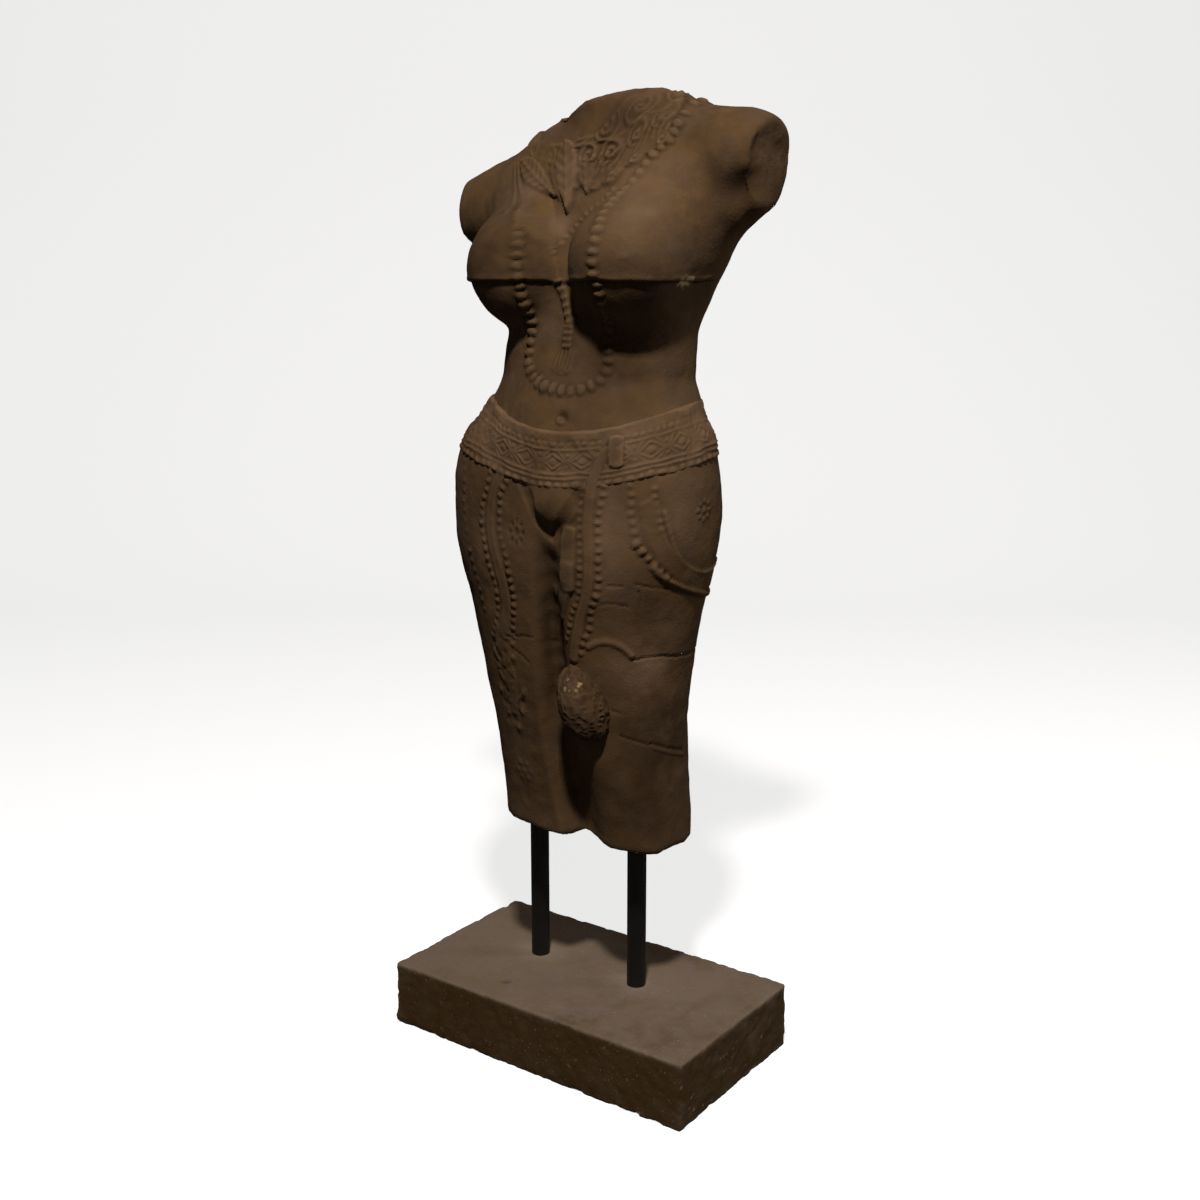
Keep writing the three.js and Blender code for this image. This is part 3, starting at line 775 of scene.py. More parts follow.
@dataclass
class Belt:
    """The hip belt: a piece of its own that hugs the skin, lowest in front.

    A ridge has its level, its width and how proud it stands. A bead row has its level, the pitch,
    the beads' radius and how proud they stand.
    """

    RIDGES = ((-16.0, 1.9, 2.5), (-22.0, 1.8, 2.3), (12.0, 1.3, 1.9))
    SMALL_BEADS = (18.4, 8.3, 3.5, 2.2)
    LARGE_BEADS = (-30.0, 9.8, 4.5, 3.6)
    CARVED = 0.66

    skin: Skin
    lowest_angle: float = 15.0
    rise: float = 32.0
    front_height: float = 487.5
    half_width: float = 34.0
    columns: int = 660
    rows: int = 58
    axis: float = -1.5
    period: float = 32.0
    lap: float = 354.0
    sunk: float = 3.4

    def level(self, degrees: Points) -> Points:
        """The belt's middle height: half a cosine wave up to the sides, then level."""
        turned = np.abs((degrees - self.lowest_angle + 180.0) % 360.0 - 180.0)
        wave = 0.5 - 0.5 * np.cos(np.minimum(turned / 90.0, 1.0) * math.pi)
        return self.front_height + self.rise * wave

    def pattern(self, along: Points, across: Points) -> Points:
        """Height of the belt's own carving.

        Across from the top: a smooth band, a row of small beads, crossed lozenges between ridges,
        two ridges, and a row of larger beads.

        Args:
            along: Way round the belt.
            across: Way up from the belt's middle.

        Returns:
            One height a point.
        """
        plate = 2.4 * smooth_step(0.0, 3.0, self.half_width - np.abs(across))
        top = 1.8 * dome((across - 28.0) / 6.4)
        cell = (along / self.period - np.round(along / self.period)) * self.period
        off = np.abs(across - self.axis)
        diamond = np.abs(cell) / 15.0 + off / 10.5
        frame = 2.2 * bell(diamond - 0.85, 0.14)
        boss = 2.4 * dome(np.hypot(cell, off) / 4.4)
        half_cell = self.period / 2.0 - np.abs(cell)
        cross = 1.7 * bell(np.abs(half_cell) - off * 0.9, 1.6)
        corner = 1.6 * dome(np.hypot(half_cell, off - 6.6) / 2.8)
        rows = np.maximum.reduce([frame, boss, cross, corner]) * (off < 11.5)
        ridges = sum(proud * bell(across - level, width) for level, width, proud in self.RIDGES)
        small = self.row(along, across, *self.SMALL_BEADS)
        large = self.row(along, across, *self.LARGE_BEADS)
        return plate + self.CARVED * np.maximum.reduce([top, rows, ridges, small, large])

    def row(
        self, along: Points, across: Points, level: float, pitch: float, radius: float, proud: float
    ) -> Points:
        """A row of uneven domes along the belt.

        Args:
            along: Way round the belt.
            across: Way up from the belt's middle.
            level: Where the row lies.
            pitch: Distance from dome to dome.
            radius: The domes' radius.
            proud: Their height.

        Returns:
            One height a point.
        """
        number = np.round(along / pitch)
        uneven = 0.85 + 0.22 * np.sin(number * 12.9898) * np.sin(number * 4.1414)
        away = np.hypot(along - number * pitch, across - level) / (radius * uneven)
        return proud * uneven * dome(away, 2.4)

    def sheets(self, carvings: list[Carving]) -> tuple[Points, Points]:
        """The outer and the sunk sheet of the belt, as grids of points.

        Args:
            carvings: What crosses the belt.

        Returns:
            The outer grid and the inner grid, each rows by columns by 3.
        """
        degrees = np.linspace(-180.0, 180.0, self.columns, endpoint=False)
        offset = np.linspace(-self.half_width - 2.0, self.half_width + 2.0, self.rows)
        turn, across = np.meshgrid(degrees, offset)
        base = self.skin.around(turn.ravel(), (self.level(turn) + across).ravel())
        grid = base.reshape(self.rows, self.columns, 3)
        middle = grid[self.rows // 2]
        steps = np.linalg.norm(np.roll(middle, -1, axis=0) - middle, axis=1)
        length = steps.sum()
        along = np.concatenate([[0.0], np.cumsum(steps)[:-1]])
        along = along * (round(length / self.lap) * self.lap / length)
        normal = self.skin.outward(base)
        shifted = np.tile(along, self.rows) + 2.6 * lattice_noise(base, 17.0, 34)
        own = self.pattern(shifted, across.ravel() + 1.7 * lattice_noise(base, 19.0, 35))
        worn = 0.95 - 0.7 * np.clip(rough_noise(base, 30.0, 31) + 0.3, 0.0, 1.0)
        height = np.maximum(own * worn, strongest(carvings, base))
        height = height + 0.5 * rough_noise(base, 9.0, 36, 2)
        rim = smooth_step(0.0, 2.5, self.half_width + 2.0 - np.abs(across.ravel()))
        height = (height + 1.6) * rim - 1.6
        outer = (base + normal * height[:, None]).reshape(grid.shape)
        inner = (base - normal * self.sunk).reshape(grid.shape)
        return outer, inner


def grid_faces(rows: int, columns: int, closed: bool) -> Points:
    """Corner numbers of a grid's four-sided faces.

    Args:
        rows: Points along the first side.
        columns: Points along the second side.
        closed: Whether the columns go all round.

    Returns:
        One row of four corner numbers a face.
    """
    i = np.arange(rows - 1)[:, None] * columns
    j = np.arange(columns if closed else columns - 1)[None]
    k = (j + 1) % columns
    return np.stack([i + j, i + k, i + columns + k, i + columns + j], axis=-1).reshape(-1, 4)


def cap_faces(rows: int, columns: int) -> list[list[int]]:
    """Fans that close a grid's first and last rows, whose middles are its last two points.

    Args:
        rows: Rows of the grid.
        columns: Points in a row.

    Returns:
        The faces of both fans.
    """
    j = np.arange(columns)
    k = (j + 1) % columns
    bottom, top, last = rows * columns, rows * columns + 1, (rows - 1) * columns
    low = np.stack([np.full(columns, bottom), k, j], axis=-1)
    high = np.stack([np.full(columns, top), last + j, last + k], axis=-1)
    return [*low.tolist(), *high.tolist()]


def closed_faces(rows: int, columns: int) -> list[list[int]]:
    """The faces of a grid that goes all round, with a fan at each end."""
    return grid_faces(rows, columns, closed=True).tolist() + cap_faces(rows, columns)


def with_middles(masks: dict[str, Points]) -> dict[str, Points]:
    """The masks with a 0 for each of the two middles that close a grid."""
    return {key: np.append(values, [0.0, 0.0]) for key, values in masks.items()}


def add_object(name: str, data: bpy.types.ID) -> bpy.types.Object:
    """Make an object of a mesh, a lamp or a camera, and link it to the scene."""
    made = bpy.data.objects.new(name, data)
    bpy.context.scene.collection.objects.link(made)
    return made


def box_mm(node: str) -> tuple[Points, Points]:
    """The low and the high corner of a CAD node's box, in millimetres."""
    low, high = (np.array(corner, float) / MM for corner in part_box(node))
    return low, high


def make_piece(
    name: str,
    vertices: Points,
    faces: Points | list[list[int]],
    attributes: dict[str, Points] | None = None,
) -> bpy.types.Object:
    """Make an object of a mesh, in metres, with smooth faces that point outwards.

    Args:
        name: The piece's name.
        vertices: Its points, in metres.
        faces: The corner numbers of its faces.
        attributes: Values for each point, by name.

    Returns:
        The object, linked to the scene.
    """
    mesh = bpy.data.meshes.new(name)
    mesh.from_pydata(vertices.tolist(), [], [list(map(int, face)) for face in faces])
    mesh.validate()
    mesh.update()
    corners = np.array([list(face)[:3] for face in faces])
    a, b, c = (vertices[corners[:, k]] for k in range(3))
    if np.sum(np.cross(a, b) * c) < 0.0:
        mesh.flip_normals()
    mesh.polygons.foreach_set("use_smooth", np.ones(len(mesh.polygons), bool))
    for key, values in (attributes or {}).items():
        layer = mesh.attributes.new(key, "FLOAT", "POINT")
        layer.data.foreach_set("value", values.astype(np.float32))
    mesh.update()
    LOG.info("%s: %d vertices, %d faces", name, len(vertices), len(faces))
    return add_object(name, mesh)


@dataclass
class Place:
    """Puts the drawn figure into the frame, in metres, over the CAD torso's box."""

    corner: Points
    share: float

    @classmethod
    def from_frame(cls) -> "Place":
        """Read the CAD torso's box, and match the drawn figure's box to it."""
        low, high = (np.array(corner, float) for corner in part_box("torso"))
        share = float(high[2] - low[2]) / ((DRAWN_HIGH[2] - DRAWN_LOW[2]) * MM)
        return cls(corner=low - np.array(DRAWN_LOW) * MM * share, share=share)

    def put(self, p: Points) -> Points:
        """Figure millimetres to frame metres."""
        return p * (MM * self.share) + self.corner


@dataclass
class Ornament:
    """Every carving of the torso, placed on the skin by its x and height seen from the front."""

    skin: Skin

    def strand(self, points: Points, pitch: float, closed: bool = False) -> Points:
        """Bead centres at an even pitch on the skin."""
        return self.skin.settle(smooth_path(points, pitch, closed))

    def dots(
        self, places: list[Spot], pitch: float, radius: float, proud: float, seed: int
    ) -> BeadRow:
        """A row of small beads through places seen from the front."""
        return BeadRow(self.strand(self.skin.from_front(places), pitch), radius, proud, seed)

    def strip(self, places: list[Spot], width: float, proud: float, **more: object) -> Band:
        """A band through places seen from the front."""
        return Band(self.skin, self.skin.from_front(places), width, proud, **more)

    def cord(self, places: list[Spot], width: float, proud: float, **more: object) -> Band:
        """A strip that is round across."""
        return self.strip(places, width, proud, profile=Profile.ROUND, **more)

    def around(self, places: list[Spot]) -> Points:
        """Skin points named by their angle round the centre line, 0 in front, and their height."""
        degrees, heights = np.array(places, float).T
        return self.skin.around(degrees, heights)

    def long_necklace(self) -> list[Carving]:
        """The long strand of beads, over the breasts and round behind the neck."""
        front = self.skin.from_front([
            (128, 852), (116, 837), (102, 815), (91, 793), (91, 770), (94, 747), (94, 722), (94, 697),
            (93, 672), (84, 648), (72, 626), (75, 607), (74, 587), (66, 576), (46, 568), (20, 568),
            (-12, 577), (-32, 593), (-36, 609), (-34, 630), (-30, 652), (-26, 672), (-24, 690),
            (-26, 710), (-27, 732), (-36, 754),
        ])
        behind = self.skin.settle(np.array([
            (-92, 40, 850), (-60, 76, 850), (0, 84, 850), (70, 80, 862), (126, 46, 868),
        ], float))
        beads = self.strand(np.vstack([behind, front]), 12.4)
        upper = [(-36, 754), (-45, 767), (-57, 784), (-74, 806), (-88, 830)]
        return [
            BeadRow(beads, 8.0, 4.6, seed=3, squash=0.7),
            self.cord(upper, 8.0, 3.4, end_width=6.0),
            self.cord([(-60, 768), (-70, 786), (-84, 808), (-94, 830)], 5.0, 2.4),
        ]

    def chest(self) -> list[Carving]:
        """The collar with its leaves, the pointed necklace, and the strap with its fringe."""
        knot = self.skin.from_front([(24, 646)])
        cord = [(-86, 834), (-78, 825), (-66, 808), (-54, 787), (-30, 764), (-12, 742), (-1, 724)]
        strap = [(5, 692), (11, 678), (17, 662), (23, 646)]
        fringe = [(22, 618), (22, 606), (21, 592)]
        return [
            Collar(),
            Leaf((-6, 852), (6, 769), 34, 9.0, carved=0.5, veins=13.0),
            Leaf((-22, 836), (-8, 782), 22, 6.5, carved=0.3, veins=11.0),
            Leaf((-78, 832), (-12, 788), 30, 7.0, carved=0.7, veins=10.0),
            Leaf((24, 830), (31, 789), 26, 6.4, carved=0.6, veins=10.0),
            Leaf((-60, 816), (1, 727), 33, 3.6, carved=0.0),
            self.cord(cord, 6.0, 3.4),
            self.dots([(3, 735), (8, 745), (18, 754), (35, 770), (55, 783), (68, 794)], 9.4, 3.9, 3.0, 5),
            self.cord([(-1, 724), (3, 708), (5, 696)], 5.0, 1.6),
            self.strip(strap, 12.0, 5.6, profile=Profile.RUNGS, period=10.0),
            BeadRow(knot, 8.5, 6.0, squash=0.9),
            self.strip([(23, 640), (22, 618)], 15.0, 4.6, profile=Profile.RUNGS, period=7.5),
            self.strip(
                fringe, 17.0, 2.6, profile=Profile.FRINGE, end_width=32.0, period=5.2, wear=0.8
            ),
        ]

    def waist(self) -> list[Carving]:
        """The navel, and the repair's lip under the breasts with its small marks."""
        navel = self.skin.from_front([(34, 536), (32, 534)])
        mark = self.around([(43, 719)])[0]
        return [
            Dent(navel[0], 11.0, -5.0),
            BeadRow(navel[1:], 6.4, 5.6),
            Ledge(),
            Dent(mark, 6.0, 1.3),
        ]

    def far_sash(self) -> list[Carving]:
        """The sash on the figure's right thigh: a strap between rows of dots, with a curled end."""
        left = [
            (-62, 508), (-62, 494), (-69, 479), (-74, 462), (-77, 448), (-86, 428), (-88, 412),
            (-87, 394), (-83, 384), (-78, 362), (-72, 341), (-68, 322), (-69, 305), (-72, 291),
            (-78, 276), (-88, 258),
        ]
        right = [
            (-37, 519), (-33, 498), (-34, 480), (-39, 465), (-48, 453), (-54, 440), (-55, 420),
            (-55, 400), (-52, 386), (-46, 372), (-43, 358), (-41, 342), (-39, 325), (-39, 312),
            (-42, 295), (-46, 275), (-50, 254),
        ]
        strap = [
            (-50, 521), (-44, 504), (-46, 488), (-51, 473), (-60, 456), (-68, 440), (-71, 420),
            (-71, 400), (-66, 375), (-59, 352), (-54, 328), (-54, 305), (-58, 285), (-66, 262),
        ]
        hem = [
            (-130, 475), (-127, 450), (-130, 427), (-127, 402), (-119, 374), (-113, 347),
            (-106, 318), (-101, 290),
        ]
        return [
            self.strip(strap, 15.0, 2.4, end_width=20.0, soft=3.0),
            self.dots(left, 10.8, 4.7, 2.4, 7),
            self.dots(right, 10.8, 4.9, 2.7, 8),
            self.dots(hem, 12.5, 4.6, 1.5, 12),
            self.cord([(-152, 500), (-118, 490), (-80, 480)], 5.0, 2.2),
            self.cord([(-140, 486), (-96, 479), (-57, 476)], 5.0, 2.0),
            *self.far_sash_end(),
        ]

    def far_sash_end(self) -> list[Carving]:
        """The curled end of that sash: crossing branches over a low patch, with pits."""
        pits = self.skin.from_front([
            (-72, 216), (-57, 206), (-44, 177), (-53, 161), (-66, 240), (-78, 232), (-54, 224),
            (-70, 186), (-80, 170), (-62, 148), (-88, 250), (-60, 254),
        ])
        lumps = self.skin.from_front([
            (-80, 246), (-70, 228), (-62, 216), (-82, 218), (-52, 236), (-74, 202), (-58, 192),
            (-66, 174), (-46, 164), (-40, 190), (-72, 158), (-56, 140), (-84, 186),
        ])
        patch = [(-67, 266), (-68, 235), (-62, 200), (-62, 160)]
        return [
            self.strip(patch, 40.0, 1.7, end_width=22.0, soft=7.0),
            self.cord([(-90, 240), (-80, 226), (-68, 222), (-58, 230)], 6.0, 2.3),
            self.cord([(-84, 212), (-74, 202), (-62, 200), (-52, 210)], 5.5, 2.2),
            self.cord([(-76, 162), (-60, 172), (-46, 184), (-36, 196)], 5.5, 2.0),
            *[Dent(lump, 6.5, 2.3) for lump in lumps],
            *[Dent(pit, 5.0, -1.5) for pit in pits],
        ]

    def near_sash(self) -> list[Carving]:
        """The sash inside the left thigh, hanging from a folded knot, and the cloth steps beside it."""
        right = [
            (97, 492), (92, 481), (91, 472), (88, 463), (87, 446), (83, 430), (82, 412), (82, 400),
            (83, 386), (82, 370), (82, 354), (80, 342), (78, 332), (68, 312), (66, 294), (62, 283),
            (55, 270), (51, 256),
        ]
        left = [
            (80, 503), (75, 492), (73, 480), (70, 468), (65, 455), (62, 443), (61, 425), (61, 400),
            (61, 378), (60, 360), (57, 340), (55, 326), (48, 312), (41, 299), (38, 286), (31, 271),
        ]
        strap = [
            (98, 500), (89, 500), (83, 490), (79, 478), (75, 465), (73, 448), (71, 430), (70, 411),
            (71, 390), (71, 365), (69, 345), (63, 322), (55, 302), (50, 285), (44, 266), (40, 246),
        ]
        return [
            self.strip(strap, 15.0, 3.0, soft=3.0, wear=0.2),
            self.strip([(97, 514), (98, 500), (99, 486)], 20.0, 5.6, soft=2.6, wear=0.1),
            self.dots(right, 11.4, 5.1, 2.8, 9),
            self.dots(left, 9.8, 3.9, 2.1, 10),
            self.strip([(48, 408), (46, 386), (45, 364)], 21.0, 3.2, end_width=23.0, soft=3.0),
            self.strip([(44, 366), (43, 350), (42, 337)], 22.0, 4.4, soft=2.4),
            self.strip([(40, 338), (30, 318), (22, 300)], 20.0, 3.0, soft=4.0),
            self.strip([(13, 334), (12, 316), (9, 300), (4, 284), (0, 262)], 9.0, 1.6, soft=3.0),
        ]

    def hip_swag(self) -> list[Carving]:
        """The swag on the left hip: two ticked straps, a beaded and rolled edge, and a flower."""
        around = self.around
        beads = around([(55, 394), (58, 383), (61, 373), (64, 362), (68, 352)])
        lip = around([(62, 366), (66, 354), (75, 340), (89, 326), (104, 318), (122, 324), (138, 340)])
        ridge = around([
            (66, 432), (68, 414), (70, 395), (73, 377), (78, 363), (87, 352), (96, 350), (110, 358),
        ])
        cloth = around([
            (60, 440), (62, 412), (65, 390), (70, 370), (77, 354), (88, 341), (104, 335), (124, 342),
        ])
        far = around([(52, 462), (53, 446), (53, 430), (54, 412), (55, 396)])
        near = around([(62, 458), (62, 446), (63, 434), (64, 422), (65, 410)])
        flower = around([(86, 428)])[0]
        return [
            Band(self.skin, cloth, 26.0, 1.8, soft=4.0),
            BeadRow(self.strand(beads, 11.8), 6.0, 4.6, seed=11),
            Band(self.skin, lip, 8.0, 4.2, Profile.ROUND),
            Band(self.skin, ridge, 4.6, 2.8, Profile.ROUND),
            BeadRow(self.strand(far, 12.0), 4.8, 2.2, seed=13),
            BeadRow(self.strand(near, 10.5), 4.6, 2.6, seed=14),
            Flower(flower, 15.0, 1.9),
        ]

    def thighs(self) -> list[Carving]:
        """Cracks, folds, the flower of punched dots and the worn ring low on the right leg."""
        lines = [
            ([(57, 249), (68, 252), (84, 247), (96, 245), (110, 243)], 3.4, -2.4),
            ([(43, 343), (50, 343)], 3.0, -1.6),
            ([(40, 319), (46, 320), (53, 317)], 3.0, -1.6),
            ([(55, 346), (62, 341), (70, 338)], 3.2, -1.5),
            ([(57, 336), (58, 325), (58, 313)], 2.6, -1.4),
            ([(46, 184), (54, 178)], 3.0, -1.5),
            ([(51, 151), (60, 144), (69, 137)], 3.2, -1.8),
            ([(69, 139), (84, 126), (98, 116)], 3.2, -1.8),
            ([(70, 133), (84, 120), (98, 110)], 2.6, 1.6),
            ([(-26, 262), (-14, 266), (-4, 268)], 3.0, -1.5),
            ([(-21, 246), (-15, 240), (-10, 232)], 3.0, -1.3),
        ]
        carvings: list[Carving] = [
            Band(self.skin, self.around(places), width, depth, Profile.GROOVE)
            for places, width, depth in lines
        ]
        fold = self.around([(33, 264), (39, 271), (46, 271), (52, 264), (56, 254)])
        flower = self.skin.from_front([(-28, 398), (-56, 80)])
        gap = [(22, 366), (18, 340), (13, 312), (9, 286), (6, 262), (4, 238), (3, 214), (3, 190)]
        groin = [(-20, 462), (-6, 438), (10, 412), (22, 398)]
        return [
            *carvings,
            Band(self.skin, fold, 9.0, 3.0, Profile.ROUND),
            Flower(flower[0], 14.0, -2.2, tall=1.35),
            Flower(flower[1], 16.0, 0.9, petals=6),
            self.strip(groin, 16.0, -3.0, profile=Profile.GROOVE),
            self.strip([(60, 452), (46, 424), (34, 406), (24, 396)], 15.0, -2.6, profile=Profile.GROOVE),
            *[Dent(point, 20.0, -5.5) for point in self.skin.from_front(gap)],
        ]

    def breaks(self) -> list[Carving]:
        """The broken faces of the neck, the stumps and the cut across the knees."""
        return [
            Break((1.0, 0.0, -0.18), (225.0, 36.0, 819.0), 70.0, 2.6, seed=41, reach=14.0),
            Break((-1.0, 0.0, -0.1), (-204.0, 40.0, 779.0), 70.0, 3.0, seed=42, reach=10.0),
            Break((-0.13, 0.0, 1.0), (36.0, 32.0, 903.6), 80.0, 2.6, seed=43, reach=8.0),
            Break((-0.04, 0.0, -1.0), (-10.0, 15.0, 0.0), 190.0, 3.0, seed=44, reach=7.0),
            Dent(np.array([222.0, -6.0, 796.0]), 30.0, -8.0),
            Dent(np.array([204.0, -8.0, 788.0]), 26.0, -4.5),
            Dent(np.array([228.0, 4.0, 838.0]), 16.0, -3.5),
            Dent(np.array([-38.0, 0.0, 883.0]), 24.0, -8.0),
        ]


@dataclass(frozen=True)
class Patch:
    """A patch of clay whose colour differs, with soft ends."""

    middle: Trio
    wide: float
    high: float
    strength: float

    def away(self, p: Points) -> Points:
        """Squared way from the middle, by the patch's reach across and up."""
        off = p - np.array(self.middle)
        return (off[:, 0] ** 2 + off[:, 1] ** 2) / self.wide**2 + (off[:, 2] / self.high) ** 2

    def soft(self, p: Points) -> Points:
        """How much the patch changes the clay at each point."""
        return self.strength * np.exp(-self.away(p))


CHIPPED = (
    Patch((156.0, -26.0, 690.5), 18.0, 7.0, 1.0),
    Patch((-2.0, -40.0, 8.0), 6.0, 9.0, 0.35),
)
# Lighter, redder patches: partly painted light, most of all on the hips and the left thigh where the lamps
# leave the clay too dark, and partly clay rubbed lighter.
LIT_AND_RUBBED = (
    Patch((4.0, -40.0, 815.0), 18.0, 40.0, 0.6),
    Patch((0.0, -50.0, 762.0), 15.0, 24.0, 0.5),
    Patch((-46.0, -40.0, 800.0), 26.0, 20.0, 0.3),
    Patch((118.0, -70.0, 745.0), 34.0, 40.0, 0.4),
    Patch((150.0, -30.0, 745.0), 12.0, 30.0, 0.35),
    Patch((110.0, -30.0, 800.0), 60.0, 26.0, 0.25),
    Patch((150.0, -40.0, 520.0), 40.0, 30.0, 0.4),
    Patch((95.0, -90.0, 405.0), 40.0, 70.0, 0.4),
    Patch((150.0, -30.0, 440.0), 40.0, 40.0, 0.35),
    Patch((118.0, -40.0, 240.0), 46.0, 46.0, 0.6),
    Patch((-86.0, -99.0, 344.0), 40.0, 60.0, 0.3),
    Patch((-90.0, -80.0, 110.0), 40.0, 60.0, 0.15),
)
# Darker patches: mostly painted shade, under the breasts, along the repair lip, round the mound, in the
# gap between the legs under the tassel and in the hollow of the left stump; also plain darkening at the
# neck, on the right breast and low on the left leg.
SHADED_AND_STAINED = (
    Patch((60.0, -20.0, 876.0), 50.0, 28.0, 0.55),
    Patch((-10.0, -20.0, 880.0), 40.0, 20.0, 0.3),
    Patch((-52.0, -113.0, 730.0), 52.0, 46.0, 0.55),
    Patch((78.0, -66.0, 590.0), 56.0, 40.0, 0.8),
    Patch((140.0, -98.0, 706.0), 60.0, 12.0, 0.3),
    Patch((-60.0, -110.0, 704.0), 60.0, 10.0, 0.2),
    Patch((112.0, -24.0, 84.0), 66.0, 66.0, 0.85),
    Patch((216.0, -8.0, 793.0), 26.0, 17.0, 0.8),
    Patch((193.0, -9.0, 859.0), 44.0, 20.0, 0.22),
    Patch((24.0, -118.0, 438.0), 36.0, 26.0, 0.45),
    Patch((8.0, -80.0, 296.0), 16.0, 84.0, 0.95),
    Patch((118.0, -104.0, 678.0), 44.0, 18.0, 0.7),
    Patch((14.0, -50.0, 190.0), 24.0, 60.0, 0.5),
)


@dataclass
class TorsoPiece:
    """One level stretch of the torso's clay, closed at both ends."""

    name: str
    low: float
    high: float
    rows: int
    front_columns: int = 290
    back_columns: int = 84
    front_reach: float = 118.0

    def angles(self) -> Points:
        """Angles round the piece, closer together where the photograph sees it."""
        start, end = FRONT_ANGLE - self.front_reach, FRONT_ANGLE + self.front_reach
        front = np.linspace(start, end, self.front_columns, endpoint=False)
        back = np.linspace(end, start + 360.0, self.back_columns, endpoint=False)
        return np.radians(np.concatenate([front, back]))

    def build(
        self, skin: Skin, carvings: list[Carving], breaks: list[Carving], place: Place
    ) -> bpy.types.Object:
        """Cast the grid, add the carving along the skin's outward direction, and close the ends.

        Args:
            skin: The form.
            carvings: The carving that this piece carries.
            breaks: The broken faces, which keep the colour of the rest.
            place: Where the figure stands.

        Returns:
            The piece.
        """
        travel = np.linspace(self.low, self.high, self.rows)
        angles = self.angles()
        turn, way = np.meshgrid(angles, travel)
        origin, direction = skin.fan(turn.ravel(), way.ravel())
        base = skin.cast(origin, direction)
        normal = skin.outward(base)
        height = strongest(carvings, base)
        broken = strongest(breaks, base)
        uneven = 1.1 * rough_noise(base, 58.0, 21, 3) + 0.4 * rough_noise(base, 14.0, 22, 2)
        points = base + normal * (height + broken + uneven)[:, None]
        recess = self.recess(height.reshape(self.rows, -1)).ravel()
        chip = self.chips(base)
        columns = len(angles)
        ends = np.stack([points[:columns].mean(axis=0), points[-columns:].mean(axis=0)])
        vertices = np.vstack([points, ends])
        faces = closed_faces(self.rows, columns)
        # The first mask paints shade into the carving's hollows; the third paints light and shade, along
        # with rubbing and stains.
        masks = with_middles({"recess": recess, "chip": chip, "warm": self.light_shade_rubbing_and_stains(base)})
        return make_piece(self.name, place.put(vertices), faces, masks)

    def recess(self, height: Points) -> Points:
        """How far each point lies under the carving near it: the blurred height less its own. It paints
        shade into the carving's hollows and paler clay on its raised parts.
        """
        return np.clip((blur(height, 5) - height) / 2.2, -1.0, 1.0)

    def chips(self, p: Points) -> Points:
        """Where the pale clay shows: a chip under the left breast and one at the cut edge."""
        total = np.zeros(len(p))
        for patch in CHIPPED:
            edge = np.sqrt(patch.away(p)) + 0.5 * lattice_noise(p, 5.0, 51)
            total = np.maximum(total, patch.strength * (1.0 - smooth_step(0.6, 1.15, edge)))
        return total

    def light_shade_rubbing_and_stains(self, p: Points) -> Points:
        """Where the clay is lighter and redder, above 0, from painted light and rubbing, or darker, below
        0, from painted shade and stains.
        """
        light = np.max([patch.soft(p) for patch in LIT_AND_RUBBED], axis=0)
        shade_and_stain = np.max([patch.soft(p) for patch in SHADED_AND_STAINED], axis=0)
        return np.clip((light - shade_and_stain) * (1.0 + 0.6 * rough_noise(p, 30.0, 52, 3)), -1.0, 1.0)


